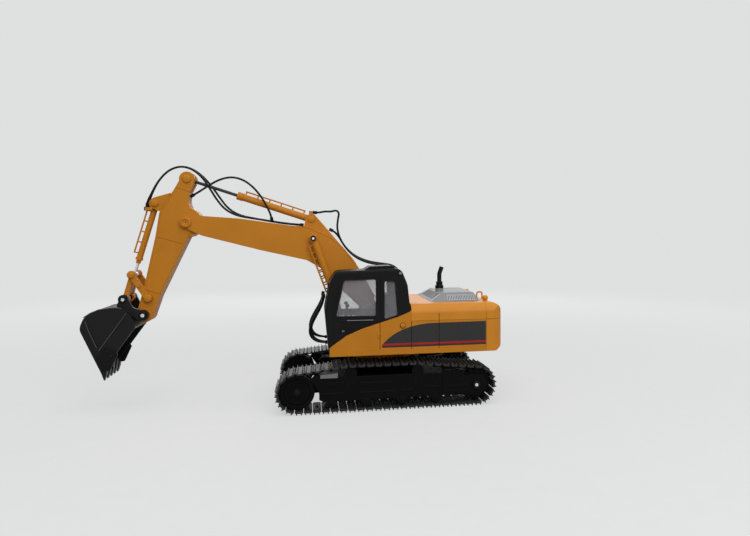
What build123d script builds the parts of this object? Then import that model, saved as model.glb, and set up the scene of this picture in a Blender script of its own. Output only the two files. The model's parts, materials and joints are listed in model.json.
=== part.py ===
from build123d import *
import os
from math import asin, atan2, cos, degrees, hypot, pi, radians, sin, tan

# Toy crawler excavator, about 1:14. Millimetres, +Z up, the bucket points to -X, the cab is on the -Y side.
# Every function works about the swing axis (X = Y = 0 on the ground). The parts are moved by SWING_X when
# written, so that the origin is the bottom centre of the whole machine.

# ---- overall ----
SWING_X = 100.0  # swing axis behind the machine's middle
OVERALL_WIDTH = 165.0  # over both tracks
FIT = 0.05  # radial running fit of a pin in its bore
GAP = 0.4  # air between parts that move past each other
SEAM = 0.15  # open joint between two moulded covers

# ---- tracks ----
SHOE_WIDTH = 40.0
AXLE_SPAN = 207.0  # idler axle to sprocket axle
BELT_RADIUS = 20.0  # inner face of the shoes round either wheel
SHOE_THICKNESS = 2.0
GROUSER_HEIGHT = 2.0
GROUSER_WIDTH = 1.4
GROUSER_OFFSET = 2.7
SHOE_PITCH = 9.8  # nominal, rounded to a whole number of shoes
FIRST_SHOE = 0.25  # pitches from the idler's foot to the first shoe's middle
SHOE_GAP = 0.6
HORN_HEIGHT = 2.2
HORN_LENGTH = 4.0
HORN_HALF_WIDTH = 3.0
AXLE_Z = BELT_RADIUS + SHOE_THICKNESS + GROUSER_HEIGHT
TRACK_Y = (OVERALL_WIDTH - SHOE_WIDTH) / 2
AXLE_X = AXLE_SPAN / 2

# ---- track frame ----
FRAME_INNER_Y = TRACK_Y - 16.5
FRAME_OUTER_Y = TRACK_Y + 15.5
FRAME_PLATE = 4.0
OUTER_PLATE = 5.0
FRAME_FRONT_X = -79.0
FRAME_REAR_X = 66.0
FRAME_TOP = 40.0
FRAME_BOTTOM = 12.5
FRAME_WEB = 3.0
RELIEF = 1.0
ROLLER_RADIUS = 6.0
ROLLER_XS = (-64.8, -25.4, 15.0, 55.5)
ROLLER_AXLE = 1.5
ROLLER_Z = AXLE_Z - BELT_RADIUS + GAP + ROLLER_RADIUS
CARRIER_RADIUS = 7.0
CARRIER_XS = (-43.8, 33.4)
CARRIER_Z = 43.4
WHEEL_AXLE = 2.5
WHEEL_HALF_WIDTH = 11.0
HUB_SCREW_RADIUS = 2.9
TREAD_WIDTH = 7.0
WHEEL_RADIUS = BELT_RADIUS - GAP
CORE_RADIUS = BELT_RADIUS - HORN_HEIGHT - GAP
SPROCKET_TEETH = 13
SPROCKET_ROOT = 16.0
TONGUE_RADIUS = 12.0
GEARBOX_RADIUS = 14.0
GEARBOX_DEPTH = 10.0
MOTOR_RADIUS = 7.3
MOTOR_Y = FRAME_INNER_Y - 7.5
MOTOR_FRONT_X = 62.5

# ---- chassis and swing ring ----
CHASSIS_BOTTOM = 24.0
CHASSIS_TOP = 50.0
CHASSIS_HALF_LENGTH = 44.0
CHASSIS_HALF_WIDTH = 34.0
LEG_X = 48.0
LEG_HALF_LENGTH = 12.0
LEG_TOP = 38.0
DECK_TOP = 55.6
TURNTABLE_RADIUS = 39.0
SKIRT_THICKNESS = 2.6
SKIRT_BOTTOM = 51.6
RING_OUTER = 34.5
RING_TEETH = 56
PINION_TEETH = 12
GEAR_MODULE = 1.0
RING_HEIGHT = 5.8
POST_RADIUS = 8.0
RETAINER_RADIUS = 12.0  # washer on the post that holds the house down
RETAINER_THICKNESS = 2.0

# ---- house ----
FLOOR_BOTTOM = 62.2
FLOOR_THICKNESS = 3.0
FLOOR_TOP = FLOOR_BOTTOM + FLOOR_THICKNESS
HOUSE_FRONT = -67.3
HOUSE_REAR = 139.0
HOUSE_HALF_WIDTH = 73.0
PANEL = 2.2
HOOD_TOP = 120.0
HOOD_EDGE_RADIUS = 11.0
CREASE_Z = 100.6  # side panels end here, hood and counterweight go on above
HOOD_FRONT = 26.8
HOOD_SEAM = 59.7
DOOR_SEAM = -10.0
COUNTERWEIGHT_FRONT = 117.8
REAR_CORNER_RADIUS = 14.0
REAR_EDGE_RADIUS = 15.0
RIM_HEIGHT = 5.6
RIM_DEPTH = 0.8
GROOVE = 0.5
SEAM_HALF_WIDTH = 0.3
APRON_TOP = 75.0
REAR_CHAMFER = 9.0
LOWER_EDGE = 7.0  # height of the counterweight's lower chamfer
BOARD_Z = 76.0
BOARD_POSTS = ((34, -52), (34, -18), (76, -52), (76, -18))
COVER_X = (54.0, 115.0)
COVER_HALF_WIDTH = 52.0
COVER_TOP_X = (70.0, 110.0)
COVER_TOP_HALF_WIDTH = 39.0
COVER_TOP = 129.8
COVER_WALL = 2.4
EXHAUST = (73.0, -8.0)
BOSS_HEIGHT = 3.6
CHEEK_THICKNESS = 2.9
EYE_X = 123.0
EYE_Y = 48.0

# ---- cab ----
CAB_INNER_Y = 29.0
CAB_WALL = 2.0
CAB_EDGE_RADIUS = 2.5
GLASS = 0.7
CAB_OUTLINE = (
    (-68.2, FLOOR_TOP, 0),
    (-73.0, 115.8, 20),
    (-67.0, 148.0, 10),
    (-59.6, 159.3, 7),
    (14.6, 162.2, 9),
    (22.6, 143.0, 26),
    (25.8, 112.0, 30),
    (26.0, FLOOR_TOP, 0),
)
BELT_LINE = ((-68.2, 72.5), (-48.4, 85.8), (-31.0, 93.2), (-9.9, 99.6), (11.6, 106.1), (26.6, 112.4))
MAIN_WINDOW = ((-61.0, 107.4, 3), (-51.6, 149.4, 4), (-14.4, 150.2, 3), (-14.0, 107.0, 3))
REAR_WINDOW = ((-5.3, 102.6, 2), (-5.3, 148.0, 3), (7.8, 148.0, 4), (11.2, 107.6, 3))
INNER_WINDOW = ((-56.0, 112.0, 3), (-47.0, 149.6, 4), (2.0, 149.6, 4), (4.0, 112.0, 3))
SCREEN_Y, SCREEN_Z = (34.5, 68.0), (84.0, 146.0)
BACK_Y, BACK_Z = (36.0, 66.0), (124.0, 152.0)
SEAT_X, SEAT_Y = (-26.0, 2.0), (40.0, 62.0)

# ---- linkage pivots in the side plane (X, Z) ----
BOOM_FOOT = (-16.5, 113.0)
BOOM_TIP = (-231.6, 215.9)
BOOM_CYLINDER_TOP = (-85.5, 197.1)
BOOM_CYLINDER_BASE = (-46.0, 90.0)
STICK_CYLINDER_BASE = (-87.7, 220.6)
STICK_TOP = (-230.9, 267.3)
BUCKET_CYLINDER_TOP = (-266.7, 238.1)
ROCKER_PIVOT = (-272.4, 127.8)
ROCKER_TOP = (-290.3, 155.1)
LINK_PIN = (-297.6, 127.3)
BUCKET_PIVOT = (-276.7, 108.7)

# ---- boom ----
BOOM_HALF_WIDTH = 15.0
SPINE_HALF_WIDTH = 11.0
MOULD_WALL = 2.2
FORK_INSIDE = 12.0
PIN_RADIUS = 3.0
SMALL_PIN = 2.0
BOOM_FOOT_RADIUS = 8.0
BOOM_TIP_RADIUS = 6.5
BRACKET_SLOT = 4.8
BOOM_SIDE = (
    (-232.0, 222.3, 0), (-213.3, 223.6, 12), (-171.0, 220.8, 0), (-113.0, 212.8, 30), (-95.0, 211.4, 20),
    (-79.0, 205.6, 20), (-60.6, 196.0, 30), (-47.0, 183.0, 30), (-36.0, 167.0, 30), (-20.0, 143.0, 30),
    (-8.6, 115.0, 0), (-21.0, 106.4, 0), (-27.0, 110.6, 4), (-52.3, 134.8, 40), (-77.6, 161.6, 16),
    (-93.0, 170.6, 12), (-147.9, 183.2, 0), (-213.3, 200.3, 12), (-233.6, 209.8, 0),
)
BOOM_SPINE = (
    (-140.0, 214.6, 0), (-96.6, 211.2, 2), (-94.6, 221.5, 4), (-90.0, 227.4, 4), (-84.0, 226.6, 4),
    (-67.2, 206.9, 40), (-49.4, 185.9, 60), (-36.0, 170.4, 40), (-21.1, 145.4, 40), (-9.8, 124.7, 6),
    (-14.0, 113.0, 0),
    (-60.0, 150.0, 0), (-100.0, 190.0, 0), (-140.0, 200.0, 0),
)

# ---- stick ----
STICK_HALF_WIDTH = FORK_INSIDE - GAP
DRUM_RADIUS = 17.3
STICK_HEAD_RADIUS = 8.6
STICK_END_RADIUS = 9.0
STICK_SLOT = 3.9
BRACKET_HALF_WIDTH = 8.0
EYE_SLOT = 4.0
STICK_SIDE = (
    (-236.0, 272.0, 0), (-240.5, 263.0, 0), (-243.6, 257.0, 6), (-260.8, 228.6, 20), (-265.0, 200.0, 30),
    (-277.0, 142.4, 0), (-284.6, 112.0, 0), (-268.6, 104.8, 0), (-260.8, 129.0, 0),
    (-228.6, 199.4, 0), (-222.0, 216.0, 0), (-229.4, 240.2, 8), (-228.4, 251.0, 4), (-223.2, 262.0, 0),
    (-226.0, 272.0, 0),
)

# ---- cylinders ----
BOOM_CYLINDER_Y = 21.0
BOOM_BARREL_LENGTH = 70.0
BOOM_BARREL_RADIUS = 4.1
BOOM_ROD_LENGTH = 62.0
BOOM_ROD_RADIUS = 2.2
STICK_BARREL_LENGTH = 92.0
STICK_BARREL_RADIUS = 4.2
STICK_ROD_LENGTH = 100.0
STICK_ROD_RADIUS = 1.9
BUCKET_BARREL_LENGTH = 73.0
BUCKET_NOSE_LENGTH = 4.0
BUCKET_NOSE_RADIUS = 2.6
BUCKET_BARREL_RADIUS = 3.4
BUCKET_ROD_LENGTH = 63.0
BUCKET_ROD_RADIUS = 1.6
GLAND_LENGTH = 7.0
RAIL_RADIUS = 0.9
CLIP_WIDTH = 1.6

# ---- bucket and its linkage ----
BUCKET_HALF_WIDTH = 27.5
BUCKET_SKIN = 2.2
EAR_INSIDE = 16.0
EAR_THICKNESS = 4.0
ROCKER_INSIDE = 12.4
ROCKER_THICKNESS = 3.0
ROCKER_BOSS = 18.5  # from the pivot to the round boss along the bar
LINK_INSIDE = 7.2
LINK_OUTSIDE = 12.1
BUCKET_PIN = 2.5
LINK_PIN_RADIUS = 1.6
LINK_PIN_CLEARANCE = 1.4
TOOTH_COUNT = 5
TOOTH_WIDTH = 6.0
BUCKET_OUTLINE = (
    (-282.5, 96.5, 0),
    (-290.5, 113.0, 6),
    (-303.0, 119.0, 5),
    (-321.0, 117.5, 16),
    (-335.5, 109.5, 14),
    (-341.0, 96.0, 12),
    (-318.2, 45.8, 0),
    (-303.5, 66.5, 0),
)

# ---- hoses ----
HOSE_RADIUS = 1.25

parts = {}


def keep(name, shape):
    """Store a node, in the swing-axis frame."""
    parts[name] = shape


def outline(corners):
    """A flat face from corners (u, v, fillet radius)."""
    points = [(u, v) for u, v, _ in corners]
    return make_face(FilletPolyline(*points, radius=[r for _, _, r in corners], close=True))


def polygon(points):
    return make_face(Polyline(*points, close=True))


def along_y(face, y_from, y_to):
    """Extrude a face drawn in X-Z from one Y to another."""
    return extrude(Plane.XZ.offset(-y_from) * face, amount=y_to - y_from, dir=(0, 1, 0))


def along_z(face, z_from, z_to):
    return extrude(Plane.XY.offset(z_from) * face, amount=z_to - z_from, dir=(0, 0, 1))


def along_x(face, x_from, x_to):
    """Extrude a face drawn in Y-Z from one X to another."""
    return extrude(Plane.YZ.offset(x_from) * face, amount=x_to - x_from, dir=(1, 0, 0))


def block(x_from, x_to, y_from, y_to, z_from, z_to):
    size = (x_to - x_from, y_to - y_from, z_to - z_from)
    return Pos(x_from, y_from, z_from) * Box(*size, align=(Align.MIN, Align.MIN, Align.MIN))


def disc(centre, radius, y_from, y_to):
    """A round along Y about (x, z)."""
    return along_y(Pos(*centre) * Circle(radius), y_from, y_to)


def post(x, y, radius, z_from, z_to):
    return along_z(Pos(x, y) * Circle(radius), z_from, z_to)


def toward(start, end, distance):
    """The point a distance along the line from start to end."""
    span = hypot(end[0] - start[0], end[1] - start[1])
    return tuple(a + (b - a) * distance / span for a, b in zip(start, end))


def rod(start, end, y, radius):
    """A round bar in the plane Y = y between two (x, z) points."""
    base = Vector(start[0], y, start[1])
    axis = Vector(end[0], y, end[1]) - base
    where = Plane(origin=base, z_dir=axis)
    return extrude(where * Circle(radius), amount=axis.length, dir=axis)


def bar(start, end, start_radius, end_radius, y_from, y_to):
    """A flat bar with a round end at each (x, z) point."""
    span = hypot(end[0] - start[0], end[1] - start[1])
    along = ((end[0] - start[0]) / span, (end[1] - start[1]) / span)
    across = (-along[1], along[0])
    corner = lambda p, r, s: (p[0] + across[0] * r * s, p[1] + across[1] * r * s)
    web = polygon((corner(start, start_radius, 1), corner(end, end_radius, 1),
                   corner(end, end_radius, -1), corner(start, start_radius, -1)))
    shape = along_y(web, y_from, y_to)
    return shape + disc(start, start_radius, y_from, y_to) + disc(end, end_radius, y_from, y_to)


def mirrored(shape):
    return mirror(shape, about=Plane.XZ)


def both_sides(shape):
    """A piece modelled at +Y, and its mirror image, in one shape."""
    return Compound([*shape.solids(), *mirrored(shape).solids()])


def screw_head(centre, radius, y_from, height):
    """A pan head facing +Y with a cross slot."""
    head = disc(centre, radius, y_from, y_from + height)
    head = chamfer(head.faces().sort_by(Axis.Y)[-1].edges(), height * 0.35)
    slot_depth = height * 0.4
    for long_x, long_z in ((radius * 0.6, radius * 0.15), (radius * 0.15, radius * 0.6)):
        head -= block(centre[0] - long_x, centre[0] + long_x, y_from + height - slot_depth,
                      y_from + height, centre[1] - long_z, centre[1] + long_z)
    return head


# ---------------------------------------------------------------- tracks

def belt_runs():
    """The belt's inner line as runs of (start point, heading, length, radius); radius None is a straight.

    It goes round the idler and the sprocket and over the two carrier rollers, anticlockwise in X-Z.
    """
    over = CARRIER_RADIUS + GAP
    wheels = [((-AXLE_X, AXLE_Z), BELT_RADIUS), ((AXLE_X, AXLE_Z), BELT_RADIUS),
              ((CARRIER_XS[1], CARRIER_Z), over), ((CARRIER_XS[0], CARRIER_Z), over)]

    def touch(wheel, heading):
        """Where a belt of that heading leaves or meets the wheel, on the wheel's right."""
        (x, z), radius = wheel
        return x + radius * sin(heading), z - radius * cos(heading)

    headings = []
    for (here, r_here), (there, r_there) in zip(wheels, wheels[1:] + wheels[:1]):
        span = hypot(there[0] - here[0], there[1] - here[1])
        line = atan2(there[1] - here[1], there[0] - here[0])
        headings.append((line - asin((r_there - r_here) / span)) % (2 * pi))
    runs = []
    for number, wheel in enumerate(wheels):
        before, heading = headings[number - 1], headings[number]
        turn = (heading - before) % (2 * pi)
        leave, reach = touch(wheel, heading), touch(wheels[(number + 1) % len(wheels)], heading)
        runs.append((touch(wheel, before), before, wheel[1] * turn, wheel[1]))
        runs.append((leave, heading, hypot(reach[0] - leave[0], reach[1] - leave[1]), None))
    # begin with the bottom run
    return runs[1:] + runs[:1]


def belt_place(distance):
    """Place on the belt's inner face: x, z and the heading there, in degrees."""
    for (x, z), heading, length, radius in belt_runs():
        if distance < length:
            break
        distance -= length
    if radius is None:
        return x + distance * cos(heading), z + distance * sin(heading), degrees(heading)
    turned = heading + distance / radius
    x += radius * (sin(turned) - sin(heading))
    z -= radius * (cos(turned) - cos(heading))
    return x, z, degrees(turned)


def track_shoe(length):
    """One shoe lying on top of the belt line, with two grousers and a guide horn below."""
    half = SHOE_WIDTH / 2
    notch = 3.0
    plate = along_z(polygon((
        (-length / 2, -half + notch), (-length / 2 + 1.5, -half), (length / 2 - 1.5, -half),
        (length / 2, -half + notch), (length / 2, half - notch), (length / 2 - 1.5, half),
        (-length / 2 + 1.5, half), (-length / 2, half - notch))), 0, SHOE_THICKNESS)
    top = SHOE_THICKNESS + GROUSER_HEIGHT
    for side in (-1, 1):
        middle = side * GROUSER_OFFSET
        section = polygon(((middle - GROUSER_WIDTH / 2, SHOE_THICKNESS - 0.1),
                           (middle + GROUSER_WIDTH / 2, SHOE_THICKNESS - 0.1),
                           (middle + GROUSER_WIDTH / 4, top), (middle - GROUSER_WIDTH / 4, top)))
        plate += along_y(section, -half + 0.5, half - 0.5)
    horn = polygon(((-HORN_LENGTH / 2, 0.1), (HORN_LENGTH / 2, 0.1),
                    (HORN_LENGTH / 4, -HORN_HEIGHT), (-HORN_LENGTH / 4, -HORN_HEIGHT)))
    return plate + along_y(horn, -HORN_HALF_WIDTH, HORN_HALF_WIDTH)


def track_belt(side_y):
    lap = sum(length for _, _, length, _ in belt_runs())
    count = round(lap / SHOE_PITCH)
    pitch = lap / count
    shoe = track_shoe(pitch - SHOE_GAP)
    shoes = []
    for index in range(count):
        x, z, heading = belt_place((index + FIRST_SHOE) * pitch)
        # the shoe is drawn lying on a run that heads toward -X, its outward side up
        shoes.append(Pos(x, side_y, z) * Rot(0, 180 - heading, 0) * shoe)
    return Compound([s for item in shoes for s in item.solids()])


def sprocket():
    """Drive wheel at +Y: two toothed treads, a core that clears the guide horns, and its shaft."""
    centre = (AXLE_X, AXLE_Z)
    y_in, y_out = TRACK_Y - WHEEL_HALF_WIDTH, TRACK_Y + WHEEL_HALF_WIDTH
    wheel = disc(centre, CORE_RADIUS - 3, y_in, y_out)
    step = 2 * pi / SPROCKET_TEETH
    corners = []
    for tooth in range(SPROCKET_TEETH):
        for share, radius in ((-0.36, SPROCKET_ROOT), (-0.16, WHEEL_RADIUS),
                              (0.16, WHEEL_RADIUS), (0.36, SPROCKET_ROOT)):
            angle = (tooth + share) * step
            corners.append((centre[0] + radius * cos(angle), centre[1] + radius * sin(angle)))
    toothed = polygon(corners)
    wheel += along_y(toothed, y_in, y_in + TREAD_WIDTH)
    wheel += along_y(toothed, y_out - TREAD_WIDTH, y_out)
    wheel += disc(centre, CORE_RADIUS, y_in + TREAD_WIDTH, y_out - TREAD_WIDTH)
    for hole in range(6):
        angle = hole * pi / 3
        spot = (centre[0] + 10.5 * cos(angle), centre[1] + 10.5 * sin(angle))
        wheel -= disc(spot, 1.8, y_out - 2, y_out)
    return wheel + disc(centre, WHEEL_AXLE, FRAME_INNER_Y - 2, FRAME_OUTER_Y - 1)


def idler():
    """Front wheel at +Y with a dished, ribbed outer face."""
    centre = (-AXLE_X, AXLE_Z)
    y_in, y_out = TRACK_Y - WHEEL_HALF_WIDTH, TRACK_Y + WHEEL_HALF_WIDTH + 1
    wheel = disc(centre, CORE_RADIUS, y_in, y_out - 1.5)
    wheel += disc(centre, WHEEL_RADIUS, y_in, y_in + TREAD_WIDTH)
    wheel += disc(centre, WHEEL_RADIUS, y_out - TREAD_WIDTH, y_out)
    wheel -= disc(centre, 15.5, y_out - 3.0, y_out)
    wheel += disc(centre, 13.0, y_out - 4.0, y_out - 1.0) - disc(centre, 11.6, y_out - 3.0, y_out)
    wheel += disc(centre, 6.0, y_out - 4.0, y_out)
    for rib in range(6):
        angle = rib * pi / 3
        spot = (centre[0] + 8.8 * cos(angle), centre[1] + 8.8 * sin(angle))
        wheel += disc(spot, 1.5, y_out - 4.0, y_out - 1.6)
    return wheel - disc(centre, WHEEL_AXLE + FIT, y_in, y_out)


def bottom_roller(x):
    """Lower roller at +Y: two treads that leave room for the guide horns."""
    centre = (x, ROLLER_Z)
    y_in = FRAME_INNER_Y + FRAME_PLATE + GAP
    y_out = FRAME_OUTER_Y - OUTER_PLATE - GAP
    room = HORN_HALF_WIDTH + GAP
    wheel = disc(centre, ROLLER_AXLE + 1.6, y_in, y_out)
    wheel += disc(centre, ROLLER_RADIUS, y_in, TRACK_Y - room)
    wheel += disc(centre, ROLLER_RADIUS, TRACK_Y + room, y_out)
    return wheel - disc(centre, ROLLER_AXLE + FIT, y_in, y_out)


def track_frame():
    """Side frame at +Y: an upside-down channel with roller lugs, idler yoke and drive tongue."""
    hub, front = (AXLE_X, AXLE_Z), (-AXLE_X, AXLE_Z)
    inner_to = FRAME_INNER_Y + FRAME_PLATE
    outer_from = FRAME_OUTER_Y - OUTER_PLATE
    side = outline((
        (FRAME_FRONT_X, 15, 1), (FRAME_FRONT_X, FRAME_TOP - 3, 1), (FRAME_FRONT_X + 5, FRAME_TOP, 1),
        (FRAME_REAR_X, FRAME_TOP, 1), (FRAME_REAR_X, 15, 1), (FRAME_REAR_X - 5, FRAME_BOTTOM, 1),
        (FRAME_FRONT_X + 5, FRAME_BOTTOM, 1)))
    frame = along_y(side, FRAME_INNER_Y, inner_to) + along_y(side, outer_from, FRAME_OUTER_Y)
    frame += block(FRAME_FRONT_X + 5, FRAME_REAR_X, inner_to, outer_from, FRAME_TOP - FRAME_WEB, FRAME_TOP)
    # arms that carry the wheels' axles
    frame += bar((FRAME_FRONT_X + 6, AXLE_Z), front, 7, 8, FRAME_INNER_Y, inner_to)
    frame += bar((FRAME_REAR_X - 6, AXLE_Z), hub, 11, GEARBOX_RADIUS, FRAME_INNER_Y, inner_to)
    frame += bar((FRAME_REAR_X - 4, AXLE_Z), hub, TONGUE_RADIUS - 1, TONGUE_RADIUS,
                 outer_from + 1, FRAME_OUTER_Y)
    frame += disc(front, WHEEL_AXLE, inner_to, TRACK_Y + WHEEL_HALF_WIDTH + 1)
    frame -= disc(hub, WHEEL_AXLE + FIT, FRAME_INNER_Y, FRAME_OUTER_Y)
    frame += disc(hub, 5.5, FRAME_OUTER_Y - 0.8, FRAME_OUTER_Y + 1.6)
    # roller lugs, axles and hub caps
    for x in ROLLER_XS:
        for y_from, y_to in ((FRAME_INNER_Y, inner_to), (outer_from, FRAME_OUTER_Y)):
            frame += disc((x, ROLLER_Z), 5.4, y_from, y_to)
        frame += disc((x, ROLLER_Z), ROLLER_AXLE, inner_to, outer_from)
        frame += disc((x, ROLLER_Z), 3.8, FRAME_OUTER_Y, FRAME_OUTER_Y + RELIEF)
        frame += disc((x, ROLLER_Z), 1.6, FRAME_OUTER_Y + RELIEF, FRAME_OUTER_Y + 2 * RELIEF)
    # moulded carrier rollers on their posts
    for x in CARRIER_XS:
        room = HORN_HALF_WIDTH + 1
        for y_from, y_to in ((inner_to, TRACK_Y - room), (TRACK_Y + room, FRAME_OUTER_Y)):
            frame += disc((x, CARRIER_Z), CARRIER_RADIUS, y_from, y_to)
        frame += block(x - 2.5, x + 2.5, inner_to, FRAME_OUTER_Y, FRAME_TOP - 1, CARRIER_Z + 1)
        for offset in (-3.4, 3.4):
            frame += block(x + offset - 0.9, x + offset + 0.9, FRAME_OUTER_Y, FRAME_OUTER_Y + RELIEF, 25, 34)
    # raised bars on the outer face: x from, x to, z from, z to
    bars = ((-76, -50, 20.5, 22), (-33, 4, 30.5, 32.5), (-34, 6, 20, 21.8), (-29, 2, 17.4, 18.6),
            (-27, 0, 15.2, 16.4), (40, 62, 23, 25), (-72, -52, 30, 34), (14, 27, 20.5, 22.5),
            (58, 61, 15.5, 34))
    for x_from, x_to, z_from, z_to in bars:
        frame += block(x_from, x_to, FRAME_OUTER_Y, FRAME_OUTER_Y + RELIEF, z_from, z_to)
    # drive cover: rivets and a rib pointing at the hub
    for x in (70.0, 86.0):
        for z in (AXLE_Z - 6.5, AXLE_Z + 6.5):
            frame += disc((x, z), 1.3, FRAME_OUTER_Y, FRAME_OUTER_Y + 0.9)
    frame += block(67, 95, FRAME_OUTER_Y, FRAME_OUTER_Y + RELIEF, AXLE_Z - 0.8, AXLE_Z + 0.8)
    return frame


def drive_motor():
    """Gearbox at +Y, bolted to the inside of the track frame, and its motor lying along X in front of it."""
    hub = (AXLE_X, AXLE_Z)
    body = disc(hub, GEARBOX_RADIUS, FRAME_INNER_Y - GEARBOX_DEPTH, FRAME_INNER_Y)
    body += along_x(Pos(MOTOR_Y, AXLE_Z) * Circle(MOTOR_RADIUS), MOTOR_FRONT_X, AXLE_X - GEARBOX_RADIUS / 2)
    return body - disc(hub, WHEEL_AXLE + FIT, FRAME_INNER_Y - 2.5, FRAME_INNER_Y)


def make_tracks():
    frame, box = track_frame(), drive_motor()
    wheels = {"sprocket": sprocket(), "idler": idler()}
    for number, x in enumerate(ROLLER_XS, 1):
        wheels[f"bottom_roller_{number}"] = bottom_roller(x)
    screws = []
    screws.append(screw_head((-AXLE_X, AXLE_Z), HUB_SCREW_RADIUS, TRACK_Y + WHEEL_HALF_WIDTH + 1, 1.4))
    screws.append(screw_head((AXLE_X, AXLE_Z), HUB_SCREW_RADIUS, FRAME_OUTER_Y + 1.6, 1.4))
    for x in (-LEG_X, LEG_X):
        screws.append(screw_head((x, LEG_TOP - 9), 2.6, FRAME_INNER_Y + FRAME_PLATE, 1.4))
    screws = both_sides(Compound([s for item in screws for s in item.solids()]))
    washer = post(0, 0, RETAINER_RADIUS, FLOOR_TOP + GAP, FLOOR_TOP + GAP + RETAINER_THICKNESS)
    keep("track_frame_right", frame)
    keep("track_frame_left", mirrored(frame))
    keep("drive_motors", both_sides(box))
    keep("undercarriage_screws", Compound([*screws.solids(), *washer.solids()]))
    for name, wheel in wheels.items():
        stem, _, number = name.rpartition("_") if name[-1].isdigit() else (name, "", "")
        tail = f"_{number}" if number else ""
        keep(f"{stem}_right{tail}", wheel)
        keep(f"{stem}_left{tail}", mirrored(wheel))
    keep("track_links_right", track_belt(TRACK_Y))
    keep("track_links_left", track_belt(-TRACK_Y))


# ---------------------------------------------------------------- chassis and swing gear

def chassis_frame():
    half_l, half_w, cut = CHASSIS_HALF_LENGTH, CHASSIS_HALF_WIDTH, 12.0
    plan = polygon(((-half_l, -half_w + cut), (-half_l + cut, -half_w), (half_l - cut, -half_w),
                    (half_l, -half_w + cut), (half_l, half_w - cut), (half_l - cut, half_w),
                    (-half_l + cut, half_w), (-half_l, half_w - cut)))
    body = along_z(plan, CHASSIS_BOTTOM, CHASSIS_TOP)
    for x in (-LEG_X, LEG_X):
        body += block(x - LEG_HALF_LENGTH, x + LEG_HALF_LENGTH, -FRAME_INNER_Y, FRAME_INNER_Y,
                      CHASSIS_BOTTOM, LEG_TOP)
    body += post(0, 0, TURNTABLE_RADIUS, CHASSIS_TOP - 1, DECK_TOP)
    return body + post(0, 0, POST_RADIUS, DECK_TOP, FLOOR_TOP + GAP)


def tooth_corners(count, root, tip, root_share, tip_share):
    step = 2 * pi / count
    corners = []
    for tooth in range(count):
        for share, radius in ((-root_share, root), (-tip_share, tip),
                              (tip_share, tip), (root_share, root)):
            angle = (tooth + share) * step
            corners.append((radius * cos(angle), radius * sin(angle)))
    return corners


def slew_ring_gear():
    """Fixed ring with inward teeth, standing on the chassis deck."""
    pitch = RING_TEETH * GEAR_MODULE / 2
    tip, root = pitch - 0.7 * GEAR_MODULE, pitch + 1.1 * GEAR_MODULE
    bore = polygon(tooth_corners(RING_TEETH, tip, root, 0.36, 0.2))
    ring = along_z(Circle(RING_OUTER), DECK_TOP, DECK_TOP + RING_HEIGHT)
    return ring - along_z(bore, DECK_TOP, DECK_TOP + RING_HEIGHT)


def slew_pinion():
    """Pinion on its shaft, inside the ring gear; it turns with the swing motor in the house."""
    pitch = PINION_TEETH * GEAR_MODULE / 2
    centre = (RING_TEETH - PINION_TEETH) * GEAR_MODULE / 2
    root, tip = pitch - 1.1 * GEAR_MODULE, pitch + 0.7 * GEAR_MODULE
    teeth = polygon(tooth_corners(PINION_TEETH, root, tip, 0.27, 0.1))
    gear = along_z(teeth, DECK_TOP + GAP, DECK_TOP + RING_HEIGHT - 0.3)
    gear += along_z(Circle(2.0), DECK_TOP + GAP, FLOOR_TOP + 3)
    return Pos(centre, 0, 0) * gear


def make_chassis():
    keep("chassis_frame", chassis_frame())
    keep("slew_ring_gear", slew_ring_gear())
    keep("slew_pinion", slew_pinion())


# ---------------------------------------------------------------- house

def boom_bracket():
    """Two cheeks that hold the boom's foot pin and the lower pins of the boom cylinders, at +Y."""
    y_in = BOOM_HALF_WIDTH + GAP
    y_out = y_in + CHEEK_THICKNESS
    foot_x, foot_z = BOOM_FOOT
    base_x, base_z = BOOM_CYLINDER_BASE
    low = FLOOR_TOP - 1
    cheek = outline(((base_x - 7, low, 0), (base_x - 7, base_z + 3, 4), (base_x + 3, base_z + 7, 3),
                     (foot_x - 13, foot_z - 9, 4), (foot_x - 8, foot_z + 6, 5), (foot_x + 5, foot_z + 9, 6),
                     (foot_x + 12, foot_z - 5, 4), (foot_x + 18, low, 0)))
    shape = along_y(cheek, y_in, y_out)
    outer = outline(((base_x - 7, low, 0), (base_x - 5.5, base_z + 5, 4.5), (base_x + 5.5, base_z + 5, 4.5),
                     (base_x + 8, low, 0)))
    shape += along_y(outer, BOOM_CYLINDER_Y + 3.2, BOOM_CYLINDER_Y + 5.4)
    shape -= disc(BOOM_FOOT, PIN_RADIUS, y_in, y_out)
    return shape - disc(BOOM_CYLINDER_BASE, SMALL_PIN, y_in, CAB_INNER_Y)


def floor_plan(room):
    """Outline of the floor plate, grown by room."""
    y = HOUSE_HALF_WIDTH - PANEL - SEAM + room
    front = HOUSE_FRONT + 1 - room
    rear = HOUSE_REAR - REAR_CHAMFER - PANEL + room
    return outline(((front, -y, 3), (rear, -y, 12), (rear, y, 12), (front, y, 3)))


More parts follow.
